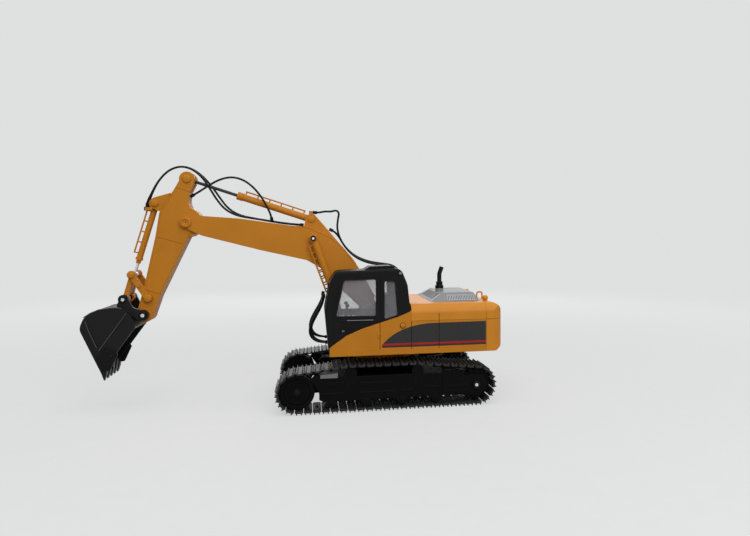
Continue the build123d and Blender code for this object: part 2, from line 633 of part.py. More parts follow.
def house_floor():
    floor = along_z(floor_plan(0), FLOOR_BOTTOM, FLOOR_TOP)
    skirt = Circle(TURNTABLE_RADIUS + GAP + SKIRT_THICKNESS) - Circle(TURNTABLE_RADIUS + GAP)
    floor += along_z(skirt, SKIRT_BOTTOM, FLOOR_BOTTOM + 1)
    floor += post(0, 0, POST_RADIUS + 5, DECK_TOP + GAP, FLOOR_BOTTOM + 1)
    floor -= post(0, 0, POST_RADIUS + FIT, DECK_TOP, FLOOR_TOP)
    pinion_x = (RING_TEETH - PINION_TEETH) * GEAR_MODULE / 2
    floor -= post(pinion_x, 0, 3.0, DECK_TOP, FLOOR_TOP)
    floor -= block(107, 117, -3, 3, FLOOR_BOTTOM, FLOOR_TOP)
    for x, y in BOARD_POSTS:
        floor += post(x, y, 2.2, FLOOR_TOP - 1, BOARD_Z)
    apron_y = CAB_INNER_Y - SEAM
    floor += block(HOUSE_FRONT + 1, HOUSE_FRONT + 1 + PANEL, -apron_y, apron_y, FLOOR_TOP - 1, APRON_TOP)
    return floor + boom_bracket() + mirrored(boom_bracket())


def panel_face(top):
    """Outline of a side panel in X-Z under a given top line, running rear to front."""
    return polygon(((HOUSE_FRONT, FLOOR_BOTTOM), (COUNTERWEIGHT_FRONT - SEAM, FLOOR_BOTTOM), *top))


def panel_rim():
    """The bead along the lower edge, at +Y."""
    return block(HOUSE_FRONT, COUNTERWEIGHT_FRONT - SEAM, HOUSE_HALF_WIDTH - 0.5, HOUSE_HALF_WIDTH + RIM_DEPTH,
                 FLOOR_BOTTOM, FLOOR_BOTTOM + RIM_HEIGHT)


def left_panel_top():
    belt = list(reversed(BELT_LINE))
    belt[-1] = (HOUSE_FRONT, belt[-1][1])
    return ((COUNTERWEIGHT_FRONT - SEAM, CREASE_Z - SEAM), (HOOD_FRONT - SEAM, CREASE_Z - SEAM), *[
        (min(x, HOOD_FRONT - SEAM), z - SEAM) for x, z in belt])


def grooved(panel, xs, z_from, z_to):
    """Cut narrow upright seam lines into an outer face at +Y."""
    for x in xs:
        panel -= block(x - SEAM_HALF_WIDTH, x + SEAM_HALF_WIDTH,
                       HOUSE_HALF_WIDTH - GROOVE, HOUSE_HALF_WIDTH + 1, z_from, z_to)
    return panel


def side_panel_left():
    y_in = HOUSE_HALF_WIDTH - PANEL
    panel = along_y(panel_face(left_panel_top()), y_in, HOUSE_HALF_WIDTH) + panel_rim()
    panel = grooved(panel, (DOOR_SEAM, HOOD_FRONT, HOOD_SEAM), FLOOR_BOTTOM + RIM_HEIGHT, CREASE_Z)
    panel += disc((16.6, 95.5), 2.8, y_in, HOUSE_HALF_WIDTH + 1.3)
    panel += block(DOOR_SEAM - 3, DOOR_SEAM - 0.6, y_in, HOUSE_HALF_WIDTH + 0.7, 82, 87)
    return mirrored(panel)


def side_panel_right():
    y_in = HOUSE_HALF_WIDTH - PANEL
    top = ((COUNTERWEIGHT_FRONT - SEAM, CREASE_Z - SEAM), (HOUSE_FRONT + 8, CREASE_Z - SEAM),
           (HOUSE_FRONT, CREASE_Z - 12))
    panel = along_y(panel_face(top), y_in, HOUSE_HALF_WIDTH) + panel_rim()
    panel = grooved(panel, (DOOR_SEAM, HOOD_FRONT, HOOD_SEAM), FLOOR_BOTTOM + RIM_HEIGHT, CREASE_Z)
    return panel + block(DOOR_SEAM - 3, DOOR_SEAM - 0.6, y_in, HOUSE_HALF_WIDTH + 0.7, 80, 85)


def arch(half_width, top, radius, bottom):
    """Section of the hood in Y-Z: flat top, round upper corners."""
    return outline(((-half_width, bottom, 0), (-half_width, top, radius), (half_width, top, radius),
                    (half_width, bottom, 0)))


def hood():
    x_to = COUNTERWEIGHT_FRONT - SEAM
    shell = along_x(arch(HOUSE_HALF_WIDTH, HOOD_TOP, HOOD_EDGE_RADIUS, CREASE_Z), HOOD_FRONT, x_to)
    inside = arch(HOUSE_HALF_WIDTH - PANEL, HOOD_TOP - PANEL, HOOD_EDGE_RADIUS - PANEL, CREASE_Z)
    shell -= along_x(inside, HOOD_FRONT + PANEL, x_to)
    # the front wall goes on down between the side panels
    wall_y = HOUSE_HALF_WIDTH - PANEL - SEAM
    shell += block(HOOD_FRONT, HOOD_FRONT + PANEL, -wall_y, wall_y, FLOOR_TOP, CREASE_Z + 1)
    for y in (-8, -4):
        shell += block(HOOD_FRONT - 8, HOOD_FRONT + 1, y - 1.7, y + 1.7, 107.0, 110.2)
    shell -= block(COVER_X[0] + 8, COVER_X[1] - 8, -COVER_HALF_WIDTH + 8, COVER_HALF_WIDTH - 8,
                   HOOD_TOP - PANEL - 1, HOOD_TOP + 1)
    for side in (-1, 1):
        y = side * HOUSE_HALF_WIDTH
        shell -= block(HOOD_SEAM - SEAM_HALF_WIDTH, HOOD_SEAM + SEAM_HALF_WIDTH, y - GROOVE, y + GROOVE,
                       CREASE_Z, HOOD_TOP - HOOD_EDGE_RADIUS)
    return shell


def engine_cover():
    """Grey raised cover: sloping sides, slots on the front slope and grilles on the flanks and top."""
    def frustum(inset, z_low, z_high):
        low = Pos((COVER_X[0] + COVER_X[1]) / 2, 0) * Rectangle(
            COVER_X[1] - COVER_X[0] - 2 * inset, 2 * (COVER_HALF_WIDTH - inset))
        high = Pos((COVER_TOP_X[0] + COVER_TOP_X[1]) / 2, 0) * Rectangle(
            COVER_TOP_X[1] - COVER_TOP_X[0] - 2 * inset, 2 * (COVER_TOP_HALF_WIDTH - inset))
        return loft([Plane.XY.offset(z_low) * low, Plane.XY.offset(z_high) * high])
    cover = frustum(0, HOOD_TOP, COVER_TOP) - frustum(COVER_WALL, HOOD_TOP, COVER_TOP - 2.0)
    for y in (-30, -18, -6, 6, 18, 30):
        cover -= block(COVER_X[0] + 3.5, COVER_TOP_X[0] - 2.5, y - 3.6, y + 3.6, HOOD_TOP + 1, COVER_TOP - 1.2)
    for x in range(80, 108, 4):
        for side in (-1, 1):
            y_near, y_far = side * (COVER_TOP_HALF_WIDTH + 1), side * (COVER_HALF_WIDTH - 1)
            cover -= block(x - 1, x + 1, min(y_near, y_far), max(y_near, y_far),
                           HOOD_TOP + 2.2, COVER_TOP - 2.5)
    cover -= block(78, 106, -34, -31.5, COVER_TOP - 3, COVER_TOP + 1)
    cover -= block(78, 106, 31.5, 34, COVER_TOP - 3, COVER_TOP + 1)
    return cover + post(*EXHAUST, 5.2, COVER_TOP - 1, COVER_TOP + BOSS_HEIGHT)


def exhaust_stack():
    """Flanged collar and a pipe that bends to the rear at its tip."""
    x, y = EXHAUST
    foot = COVER_TOP + BOSS_HEIGHT
    flange, collar, knee, tip = foot + 3.4, foot + 8.4, foot + 18.4, foot + 27.2
    stack = post(x, y, 5.4, foot, flange) + post(x, y, 4.2, flange, collar)
    path = FilletPolyline((x, y, collar - 1), (x, y, knee), (x + 3.2, y, tip), radius=9)
    pipe = sweep(Plane(origin=path @ 0, z_dir=path % 0) * Circle(2.8), path)
    return stack + pipe


def counterweight():
    """Rear body: round corners in plan, round upper edge, chamfered lower edge, rail and lifting eyes."""
    x_from = COUNTERWEIGHT_FRONT
    half = HOUSE_HALF_WIDTH
    plan = outline(((x_from, -half, 0), (HOUSE_REAR, -half, REAR_CORNER_RADIUS),
                    (HOUSE_REAR, half, REAR_CORNER_RADIUS), (x_from, half, 0)))
    profile = outline(((x_from, FLOOR_BOTTOM, 0), (HOUSE_REAR - REAR_CHAMFER, FLOOR_BOTTOM, 3),
                       (HOUSE_REAR, FLOOR_BOTTOM + LOWER_EDGE, 3),
                       (HOUSE_REAR, HOOD_TOP, REAR_EDGE_RADIUS), (x_from, HOOD_TOP, 0)))
    section = arch(half, HOOD_TOP, HOOD_EDGE_RADIUS, FLOOR_BOTTOM)
    body = along_z(plan, FLOOR_BOTTOM, HOOD_TOP) & along_y(profile, -half, half)
    body &= along_x(section, x_from, HOUSE_REAR)
    band = along_z(offset(plan, amount=RIM_DEPTH), FLOOR_BOTTOM, FLOOR_BOTTOM + RIM_HEIGHT)
    body += band & along_y(profile, -half - 1, half + 1)
    corner_y = half - REAR_CORNER_RADIUS
    core = outline(((x_from, FLOOR_BOTTOM, 0), (HOUSE_REAR - REAR_CHAMFER - 1, FLOOR_BOTTOM, 0),
                    (HOUSE_REAR - PANEL, FLOOR_BOTTOM + 8, 0),
                    (HOUSE_REAR - PANEL, HOOD_TOP - PANEL, REAR_EDGE_RADIUS - PANEL),
                    (x_from, HOOD_TOP - PANEL, 0)))
    body -= along_y(core, -corner_y, corner_y)
    side_y = half - PANEL
    body -= block(x_from, HOUSE_REAR - REAR_CORNER_RADIUS, -side_y, side_y,
                  FLOOR_BOTTOM, HOOD_TOP - HOOD_EDGE_RADIUS)
    body -= along_z(floor_plan(SEAM), FLOOR_BOTTOM, FLOOR_TOP + SEAM)
    for side in (-1, 1):
        body += post(EYE_X, side * EYE_Y, 2.4, HOOD_TOP - 1, HOOD_TOP + 3)
        body += Pos(EYE_X, side * EYE_Y, HOOD_TOP + 3.4) * Sphere(3.6)
    return body + rail()


def rail():
    """A bent grab rail on the counterweight's top, left of the middle."""
    y, x_from, x_to, top = -22.0, COUNTERWEIGHT_FRONT + 1.2, 126.0, HOOD_TOP + 8.6
    foot = HOOD_TOP - 1
    path = FilletPolyline((x_from, y, foot), (x_from, y, top), (x_to, y, top), (x_to, y, foot), radius=2.4)
    return sweep(Plane(origin=path @ 0, z_dir=path % 0) * Circle(1.0), path)


def front_deck():
    """Tank and step box on the right of the boom."""
    y_out = HOUSE_HALF_WIDTH - PANEL - SEAM
    profile = outline(((HOUSE_FRONT, FLOOR_TOP, 0), (HOUSE_FRONT, 88, 5),
                       (HOUSE_FRONT + 12, CREASE_Z - SEAM, 5), (HOOD_FRONT - SEAM, CREASE_Z - SEAM, 0),
                       (HOOD_FRONT - SEAM, FLOOR_TOP, 0)))
    deck = along_y(profile, CAB_INNER_Y, y_out)
    inner = outline(((HOUSE_FRONT + PANEL, FLOOR_TOP, 0), (HOUSE_FRONT + PANEL, 87, 4),
                     (HOUSE_FRONT + 13, CREASE_Z - PANEL, 4), (HOOD_FRONT - 2 * PANEL, CREASE_Z - PANEL, 0),
                     (HOOD_FRONT - 2 * PANEL, FLOOR_TOP, 0)))
    deck -= along_y(inner, CAB_INNER_Y + PANEL, y_out - PANEL)
    deck += post(5, 50, 5.0, CREASE_Z - 1, CREASE_Z + 3)
    for x in (-44, -34, -24):
        deck += block(x - 1, x + 1, 36, 64, CREASE_Z - 1, CREASE_Z + 1)
    return deck


# ---------------------------------------------------------------- cab

def cab_inside():
    """The hollow of the cab, in X-Z."""
    return offset(outline(CAB_OUTLINE), amount=-CAB_WALL)


def cab_shell():
    """Black moulded cab at -Y, modelled at +Y."""
    body = along_y(outline(CAB_OUTLINE), CAB_INNER_Y, HOUSE_HALF_WIDTH)
    rims = [e for e in body.edges() if e.center().Z > FLOOR_TOP + 1 and
            min(abs(e.center().Y - CAB_INNER_Y), abs(e.center().Y - HOUSE_HALF_WIDTH)) < 0.01]
    upper = [e for e in rims if e.center().Z > 100]
    body = fillet(upper, CAB_EDGE_RADIUS)
    hollow = along_y(cab_inside(), CAB_INNER_Y + CAB_WALL, HOUSE_HALF_WIDTH - CAB_WALL)
    hollow += block(-66, 23.5, CAB_INNER_Y + CAB_WALL, HOUSE_HALF_WIDTH - CAB_WALL,
                    FLOOR_TOP - 1, FLOOR_TOP + 4)
    body -= hollow
    low, front, rear = FLOOR_BOTTOM - 1, HOUSE_FRONT - 8, HOOD_FRONT + 2
    below_belt = polygon(((front, low), (rear, low), (rear, BELT_LINE[-1][1]), *reversed(BELT_LINE),
                          (front, BELT_LINE[0][1])))
    body -= along_y(below_belt, HOUSE_HALF_WIDTH - PANEL - SEAM, HOUSE_HALF_WIDTH + 1)
    for window in (MAIN_WINDOW, REAR_WINDOW):
        body -= along_y(outline(window), HOUSE_HALF_WIDTH - CAB_WALL - 1, HOUSE_HALF_WIDTH + 1)
    body -= along_y(outline(INNER_WINDOW), CAB_INNER_Y - 1, CAB_INNER_Y + CAB_WALL + 1)
    body -= block(-80, -58, *SCREEN_Y, *SCREEN_Z)
    body -= block(12, 30, *BACK_Y, *BACK_Z)
    hatch = outline(((-27.0, 159.4, 0), (-27.0, 161.0, 0), (-21.0, 164.4, 3), (4.0, 165.2, 3), (9.0, 161.8, 0),
                     (9.0, 160.6, 0)))
    body += along_y(hatch, 36, 66)
    body += disc((13.6, 156.4), 2.2, HOUSE_HALF_WIDTH - 1, HOUSE_HALF_WIDTH + 0.8)
    body += block(-55, -26, HOUSE_HALF_WIDTH - 1, HOUSE_HALF_WIDTH + 1.0, 102.4, 103.8)
    return mirrored(body)


def cab_windows():
    """Five clear panes held against the inside of the cab's walls."""
    def pane(window, y_from, y_to):
        return along_y(offset(outline(window), amount=1.5), y_from, y_to)
    outer = HOUSE_HALF_WIDTH - CAB_WALL
    panes = [pane(MAIN_WINDOW, outer - GLASS, outer), pane(REAR_WINDOW, outer - GLASS, outer)]
    inner = CAB_INNER_Y + CAB_WALL
    panes.append(pane(INNER_WINDOW, inner, inner + GLASS))
    wall = offset(outline(CAB_OUTLINE), amount=-CAB_WALL)
    skin = along_y(wall, inner + 2, outer - 2) - along_y(offset(wall, amount=-GLASS), inner + 1, outer - 1)
    panes.append(skin & block(-90, -45, SCREEN_Y[0] - 1, SCREEN_Y[1] + 0.8,
                              SCREEN_Z[0] - 1.5, SCREEN_Z[1] + 1.5))
    panes.append(skin & block(8, 40, BACK_Y[0] - 1.5, BACK_Y[1] + 1.5, BACK_Z[0] - 1.5, BACK_Z[1] + 1.5))
    return mirrored(Compound([s for item in panes for s in item.solids()]))


def cab_seat():
    """Moulded seat on its pedestal."""
    x_from, x_to = SEAT_X
    seat = block(x_from + 4, x_to - 6, SEAT_Y[0] + 4, SEAT_Y[1] - 4, FLOOR_TOP, 92)
    pad = outline(((x_from, 92, 1), (x_from - 1, 99, 3), (x_to - 4, 98, 2), (x_to - 2, 92, 1)))
    seat += along_y(pad, *SEAT_Y)
    back = outline(((x_to - 8, 94, 1), (x_to - 4, 132, 3), (x_to + 2, 132, 3), (x_to, 94, 1)))
    seat += along_y(back, *SEAT_Y)
    return mirrored(seat)


def control_levers():
    """Consoles, two levers with round knobs and a curved guard, left and right of the seat."""
    shape = []
    for y in (36.5, 65.5):
        console = block(-48, -30, y - 3, y + 3, FLOOR_TOP, 100)
        lever = rod((-45, 99), (-47, 118), y, 0.9) + Pos(-47, y, 119.5) * Sphere(2.3)
        shape.append(console + lever)
    console = block(-62, -56, 42, 60, FLOOR_TOP, 101)
    for y in (47, 55):
        console += rod((-58.5, 100), (-55, 113), y, 0.8)
    shape.append(console)
    return mirrored(Compound([s for item in shape for s in item.solids()]))


# ---------------------------------------------------------------- inside the house

def battery_pack():
    pack = block(64, 112, 6, 40, FLOOR_TOP, FLOOR_TOP + 30)
    return fillet(pack.edges().filter_by(Axis.Z), 3)


def circuit_board():
    board = block(30, 80, -56, -14, BOARD_Z, BOARD_Z + 1.6)
    for x, y, size in ((40, -40, 8), (58, -30, 10), (70, -44, 6)):
        board += block(x - size / 2, x + size / 2, y - size / 2, y + size / 2, BOARD_Z + 1, BOARD_Z + 4)
    return board


def slew_motor():
    x = (RING_TEETH - PINION_TEETH) * GEAR_MODULE / 2
    # flattened on the side that faces the hood's front wall
    top = FLOOR_TOP + 14
    body = post(x, 0, 9, FLOOR_TOP, top) & block(x - 9, HOOD_FRONT - SEAM, -9, 9, FLOOR_TOP, top)
    body += post(x - 4, 0, 7.5, top - 1, top + 20)
    return body - post(x, 0, 2.0 + FIT, FLOOR_TOP, FLOOR_TOP + 3.2)


def power_switch():
    """Slide switch knob in the floor, reached from below."""
    knob = block(109.2, 112.8, -2.6, 2.6, FLOOR_BOTTOM - 1.6, FLOOR_TOP)
    return knob + block(107, 115, -4.4, 4.4, FLOOR_TOP + 0.3, FLOOR_TOP + 2)


def house_pins():
    """Boom foot pin and the lower pins of the boom cylinders."""
    y = BOOM_HALF_WIDTH + GAP
    y_out = y + CHEEK_THICKNESS
    pin = disc(BOOM_FOOT, PIN_RADIUS, -y_out, y_out)
    stubs = [disc(BOOM_CYLINDER_BASE, SMALL_PIN, y, y_out),
             disc(BOOM_CYLINDER_BASE, SMALL_PIN, BOOM_CYLINDER_Y + 3.2, BOOM_CYLINDER_Y + 5.4)]
    group = [pin, *stubs, *[mirrored(s) for s in stubs]]
    return Compound([s for item in group for s in item.solids()])


def make_house():
    makers = (house_floor, side_panel_left, side_panel_right, hood, counterweight, engine_cover, exhaust_stack,
              front_deck, cab_shell, cab_windows, cab_seat, control_levers, battery_pack, circuit_board,
              slew_motor, power_switch, house_pins)
    for maker in makers:
        keep(maker.__name__, maker())


# ---------------------------------------------------------------- boom

def boom_half():
    """Right half of the boom, y from 0 outward: side plate, raised spine with its bracket, fork and foot."""
    side = outline(BOOM_SIDE)
    half = along_y(side, 0, BOOM_HALF_WIDTH)
    half += along_y(outline(BOOM_SPINE), 0, SPINE_HALF_WIDTH)
    half += disc(BOOM_FOOT, BOOM_FOOT_RADIUS, 0, BOOM_HALF_WIDTH)
    half += disc(BOOM_TIP, BOOM_TIP_RADIUS, 0, BOOM_HALF_WIDTH + 1.6)
    # open inside, closed toward the tip and the foot
    room = offset(side, amount=-MOULD_WALL) & (Pos(-122, 180) * Rectangle(150, 130))
    half -= along_y(room, 0, BOOM_HALF_WIDTH - MOULD_WALL)
    # fork for the stick
    reach = DRUM_RADIUS + 1.5
    half -= disc(BOOM_TIP, reach, 0, FORK_INSIDE)
    half -= block(BOOM_TIP[0] - 20, BOOM_TIP[0], 0, FORK_INSIDE, BOOM_TIP[1] - reach, BOOM_TIP[1] + reach)
    # slot for the stick cylinder's eye
    base = STICK_CYLINDER_BASE
    slot = polygon(((base[0] - 40, base[1] + 22), (base[0] - 40, base[1] - 2), (base[0] - 6, base[1] - 7),
                    (base[0] + 4, base[1] - 7), (base[0] + 7, base[1] + 3), (base[0] + 3, base[1] + 22)))
    half -= along_y(slot, 0, BRACKET_SLOT)
    half -= disc(base, SMALL_PIN, 0, SPINE_HALF_WIDTH)
    half -= disc(BOOM_TIP, PIN_RADIUS, 0, BOOM_HALF_WIDTH + 1.6)
    half -= disc(BOOM_FOOT, PIN_RADIUS + FIT, 0, BOOM_HALF_WIDTH)
    # boss and stud for the boom cylinder
    half += disc(BOOM_CYLINDER_TOP, 5.0, BOOM_HALF_WIDTH - 1, BOOM_CYLINDER_Y - 4.2)
    half -= disc(BOOM_CYLINDER_TOP, SMALL_PIN, BOOM_HALF_WIDTH - MOULD_WALL, BOOM_CYLINDER_Y)
    # hose union on the bracket's crest
    return half + block(-90.5, -86.5, 6.0, 10.0, 225.0, 230.8)


def boom_pins():
    """Stick pivot pin, stick cylinder pin and the boom cylinders' studs with their screw heads."""
    pivot_y = BOOM_HALF_WIDTH + 1.2
    group = [disc(BOOM_TIP, PIN_RADIUS, -pivot_y, pivot_y),
             disc(STICK_CYLINDER_BASE, SMALL_PIN, -SPINE_HALF_WIDTH, SPINE_HALF_WIDTH)]
    stud = disc(BOOM_CYLINDER_TOP, SMALL_PIN, BOOM_HALF_WIDTH - MOULD_WALL, BOOM_CYLINDER_Y + 4.2)
    stud += screw_head(BOOM_CYLINDER_TOP, 3.0, BOOM_CYLINDER_Y + 4.2, 1.2)
    group += [stud, mirrored(stud)]
    return Compound([s for item in group for s in item.solids()])


# ---------------------------------------------------------------- cylinders

def barrel(base, end, y, length, radius, eye_radius, eye_half_width, bore, bore_length):
    """Cylinder tube with an eye at its base and a gland collar at its mouth."""
    mouth = toward(base, end, length)
    tube = rod(base, mouth, y, radius) + rod(toward(base, end, length - GLAND_LENGTH), mouth, y, radius + 0.6)
    tube += disc(base, eye_radius, y - eye_half_width, y + eye_half_width)
    tube -= disc(base, SMALL_PIN + FIT, y - eye_half_width - 1, y + eye_half_width + 1)
    return tube - rod(toward(base, end, length - bore_length), toward(base, end, length + 1), y, bore)


def pressure_rail(base, end, y, first, last, skin, reach, side, clips):
    """A thin pipe held beside the tube by clips.

    The clips start at skin from the tube's axis; side is +1 or -1 across it in X-Z.
    """
    span = hypot(end[0] - base[0], end[1] - base[1])
    across = (-(end[1] - base[1]) / span * side, (end[0] - base[0]) / span * side)
    shift = lambda p, d: (p[0] + across[0] * d, p[1] + across[1] * d)
    start, stop = toward(base, end, first), toward(base, end, last)
    pipe = rod(shift(start, reach), shift(stop, reach), y, RAIL_RADIUS)
    for number in range(clips):
        spot = toward(base, end, first + 1 + (last - first - 2) * number / (clips - 1))
        pipe += rod(shift(spot, skin), shift(spot, reach + 0.6), y, CLIP_WIDTH / 2)
    return pipe


def plunger(eye, toward_base, y, length, radius, eye_radius, eye_half_width, hole):
    """Piston rod with its eye."""
    inner = toward(eye, toward_base, length)
    shape = rod(eye, inner, y, radius) + disc(eye, eye_radius, y - eye_half_width, y + eye_half_width)
    return shape - disc(eye, hole, y - eye_half_width - 1, y + eye_half_width + 1)


def boom_cylinder_barrel():
    top, base = BOOM_CYLINDER_TOP, BOOM_CYLINDER_BASE
    tube = barrel(top, base, BOOM_CYLINDER_Y, BOOM_BARREL_LENGTH, BOOM_BARREL_RADIUS, 4.7, 3.9,
                  BOOM_ROD_RADIUS + FIT, BOOM_BARREL_LENGTH - GLAND_LENGTH)
    return tube + pressure_rail(top, base, BOOM_CYLINDER_Y, 7, 67, BOOM_BARREL_RADIUS - 1, 8.0, -1, 8)


def boom_cylinder_rod():
    return plunger(BOOM_CYLINDER_BASE, BOOM_CYLINDER_TOP, BOOM_CYLINDER_Y, BOOM_ROD_LENGTH, BOOM_ROD_RADIUS,
                   4.0, 2.4, 1.6)


def stick_cylinder_barrel():
    base, end = STICK_CYLINDER_BASE, STICK_TOP
    tube = barrel(base, end, 0, STICK_BARREL_LENGTH, STICK_BARREL_RADIUS, 4.7, BRACKET_SLOT - GAP,
                  STICK_ROD_RADIUS + FIT, STICK_BARREL_LENGTH - GLAND_LENGTH)
    return tube + pressure_rail(base, end, 0, 10, 84, STICK_BARREL_RADIUS - 1, 7.6, -1, 6)


def stick_cylinder_rod():
    return plunger(STICK_TOP, STICK_CYLINDER_BASE, 0, STICK_ROD_LENGTH, STICK_ROD_RADIUS, 3.6,
                   STICK_SLOT - GAP, 1.6)


def bucket_cylinder_barrel():
    top, end = BUCKET_CYLINDER_TOP, ROCKER_TOP
    tube = barrel(top, end, 0, BUCKET_BARREL_LENGTH, BUCKET_BARREL_RADIUS, 4.2, EYE_SLOT - GAP,
                  BUCKET_ROD_RADIUS + FIT, BUCKET_BARREL_LENGTH - 6)
    nose_from = BUCKET_BARREL_LENGTH - BUCKET_NOSE_LENGTH
    nose_ends = toward(top, end, nose_from), toward(top, end, BUCKET_BARREL_LENGTH)
    tube -= rod(*nose_ends, 0, 2 * BUCKET_BARREL_RADIUS) - rod(*nose_ends, 0, BUCKET_NOSE_RADIUS)
    return tube + pressure_rail(top, end, 0, 9, 62, BUCKET_BARREL_RADIUS - 1, 7.4, -1, 5)


def bucket_cylinder_rod():
    return plunger(ROCKER_TOP, BUCKET_CYLINDER_TOP, 0, BUCKET_ROD_LENGTH, BUCKET_ROD_RADIUS, 3.4, 3.2, 1.6)


# ---------------------------------------------------------------- stick

def stick_half():
    """Right half of the stick, y from 0 outward: box, pivot drum, head lugs and cylinder bracket."""
    side = outline(STICK_SIDE)
    half = along_y(side, 0, STICK_HALF_WIDTH)
    half += disc(BOOM_TIP, DRUM_RADIUS, 0, STICK_HALF_WIDTH - 0.6)
    half += disc(STICK_TOP, STICK_HEAD_RADIUS, 0, STICK_HALF_WIDTH)
    half += disc(BUCKET_PIVOT, STICK_END_RADIUS, 0, STICK_HALF_WIDTH)
    room = offset(side, amount=-MOULD_WALL) & (Pos(-252, 180) * Rectangle(60, 96))
    hollow = along_y(room, 0, STICK_HALF_WIDTH - MOULD_WALL)
    half -= hollow - disc(BOOM_TIP, PIN_RADIUS + 3, 0, STICK_HALF_WIDTH)
    # bracket for the bucket cylinder
    c = BUCKET_CYLINDER_TOP
    wedge = outline(((c[0] - 6.4, c[1] + 1, 4), (c[0] - 2, c[1] + 6.6, 4), (-250.0, 250.6, 0),
                     (-255.0, 228.0, 0), (c[0] + 2.0, c[1] - 8.4, 4)))
    half += along_y(wedge, 0, BRACKET_HALF_WIDTH)
    half += disc(c, 6.3, 0, BRACKET_HALF_WIDTH)
    way_down = polygon(((c[0] - 12, c[1] + 4), (c[0], c[1]), (c[0] + 4, c[1] - 16), (c[0] - 16, c[1] - 16)))
    half -= disc(c, 7.4, 0, EYE_SLOT) + along_y(way_down, 0, EYE_SLOT)
    half -= disc(c, SMALL_PIN, 0, BRACKET_HALF_WIDTH)
    # slot in the head for the stick cylinder's eye, open to the rear
    t = STICK_TOP
    slot = polygon(((t[0] - 14, t[1] + 12), (t[0] - 11, t[1] - 4), (t[0] - 5, t[1] - 11),
                    (t[0] + 14, t[1] - 24), (t[0] + 20, t[1] + 12)))
    half -= along_y(slot, 0, STICK_SLOT)
    half -= disc(t, SMALL_PIN, STICK_SLOT, STICK_HALF_WIDTH)
    half -= disc(BOOM_TIP, PIN_RADIUS + FIT, 0, STICK_HALF_WIDTH)
    half -= disc(ROCKER_PIVOT, SMALL_PIN, 0, STICK_HALF_WIDTH)
    half += disc(BUCKET_PIVOT, 6.0, STICK_HALF_WIDTH - 1, EAR_INSIDE - 0.3)
    # hose union under the cylinder bracket
    half += block(c[0] - 10.6, c[0] - 2.6, EYE_SLOT + 0.4, BRACKET_HALF_WIDTH, c[1] - 8.2, c[1] - 4.6)
    return half - disc(BUCKET_PIVOT, BUCKET_PIN, 0, EAR_INSIDE)


def stick_pins():
    """Pins and screw heads that stay with the stick."""
    top = BRACKET_HALF_WIDTH
    group = [disc(BUCKET_CYLINDER_TOP, SMALL_PIN, -top, top)]
    rocker_y = ROCKER_INSIDE + ROCKER_THICKNESS + 0.2
    group.append(disc(ROCKER_PIVOT, SMALL_PIN, -rocker_y, rocker_y))
    ear_y = EAR_INSIDE + EAR_THICKNESS + 0.2
    group.append(disc(BUCKET_PIVOT, BUCKET_PIN, -ear_y, ear_y))
    head = disc(STICK_TOP, SMALL_PIN, STICK_SLOT, STICK_HALF_WIDTH)
    head += screw_head(STICK_TOP, 4.2, STICK_HALF_WIDTH, 1.4)
    paired = [head, screw_head(ROCKER_PIVOT, 3.4, rocker_y, 1.3), screw_head(BUCKET_PIVOT, 3.2, ear_y, 1.4),
              screw_head(BUCKET_CYLINDER_TOP, 3.2, top, 1.2)]
    group += paired + [mirrored(p) for p in paired]
    return Compound([s for item in group for s in item.solids()])


# ---------------------------------------------------------------- bucket and linkage

def rocker_bars():
    """Two bars beside the stick; stubs at the top carry the link."""
    y_in, y_out = ROCKER_INSIDE, ROCKER_INSIDE + ROCKER_THICKNESS
    side = bar(ROCKER_PIVOT, ROCKER_TOP, 3.6, 3.2, y_in, y_out)
    side += disc(ROCKER_PIVOT, 4.8, y_in, y_out) + disc(ROCKER_TOP, 4.6, y_in, y_out)
    side += disc(ROCKER_TOP, 3.4, y_out, y_out + 1.2)
    side += disc(toward(ROCKER_PIVOT, ROCKER_TOP, ROCKER_BOSS), 3.0, y_out - 1, y_out + 1.0)
    side += disc(ROCKER_TOP, SMALL_PIN, LINK_INSIDE, y_in)
    return both_sides(side - disc(ROCKER_PIVOT, SMALL_PIN + FIT, y_in, y_out))


def bucket_link():
    """Two arms joined by a web, from the rocker's top down to the bucket's ears."""
    arm = bar(ROCKER_TOP, LINK_PIN, 2.4, 2.8, LINK_INSIDE, LINK_OUTSIDE)
    arm += disc(ROCKER_TOP, 4.0, LINK_INSIDE, LINK_OUTSIDE)
    arm += disc(LINK_PIN, 5.0, LINK_INSIDE, EAR_INSIDE - 0.4)
    web_top, web_low = toward(ROCKER_TOP, LINK_PIN, 14), toward(ROCKER_TOP, LINK_PIN, 21)
    link = arm + mirrored(arm)
    link += bar(web_top, web_low, 2.2, 2.2, -LINK_INSIDE - 0.5, LINK_INSIDE + 0.5)
    link -= disc(ROCKER_TOP, SMALL_PIN + FIT, -LINK_OUTSIDE, LINK_OUTSIDE)
    return link - disc(LINK_PIN, LINK_PIN_RADIUS + LINK_PIN_CLEARANCE, -EAR_INSIDE, EAR_INSIDE)


def bucket_ear():
    """One ear plate at +Y that carries both bucket pins."""
    k, q = LINK_PIN, BUCKET_PIVOT
    web = outline(((k[0] - 5.0, k[1] - 2, 3), (k[0] + 5.2, k[1] + 1, 2), (k[0] + 10, k[1] - 9.5, 7),
                   (q[0] - 2, q[1] + 5.6, 4), (q[0] + 6.0, q[1] - 1, 4), (q[0] - 3, q[1] - 7.5, 2),
                   (k[0] + 6, k[1] - 16, 0), (k[0] - 8, k[1] - 11, 6)))
    ear_out = EAR_INSIDE + EAR_THICKNESS
    ear = along_y(web, EAR_INSIDE, ear_out)
    ear += disc(k, 5.4, EAR_INSIDE, ear_out) + disc(q, 6.2, EAR_INSIDE, ear_out)
    ear -= disc(q, BUCKET_PIN + FIT, EAR_INSIDE, ear_out)
    return ear - disc(k, LINK_PIN_RADIUS, EAR_INSIDE, ear_out)


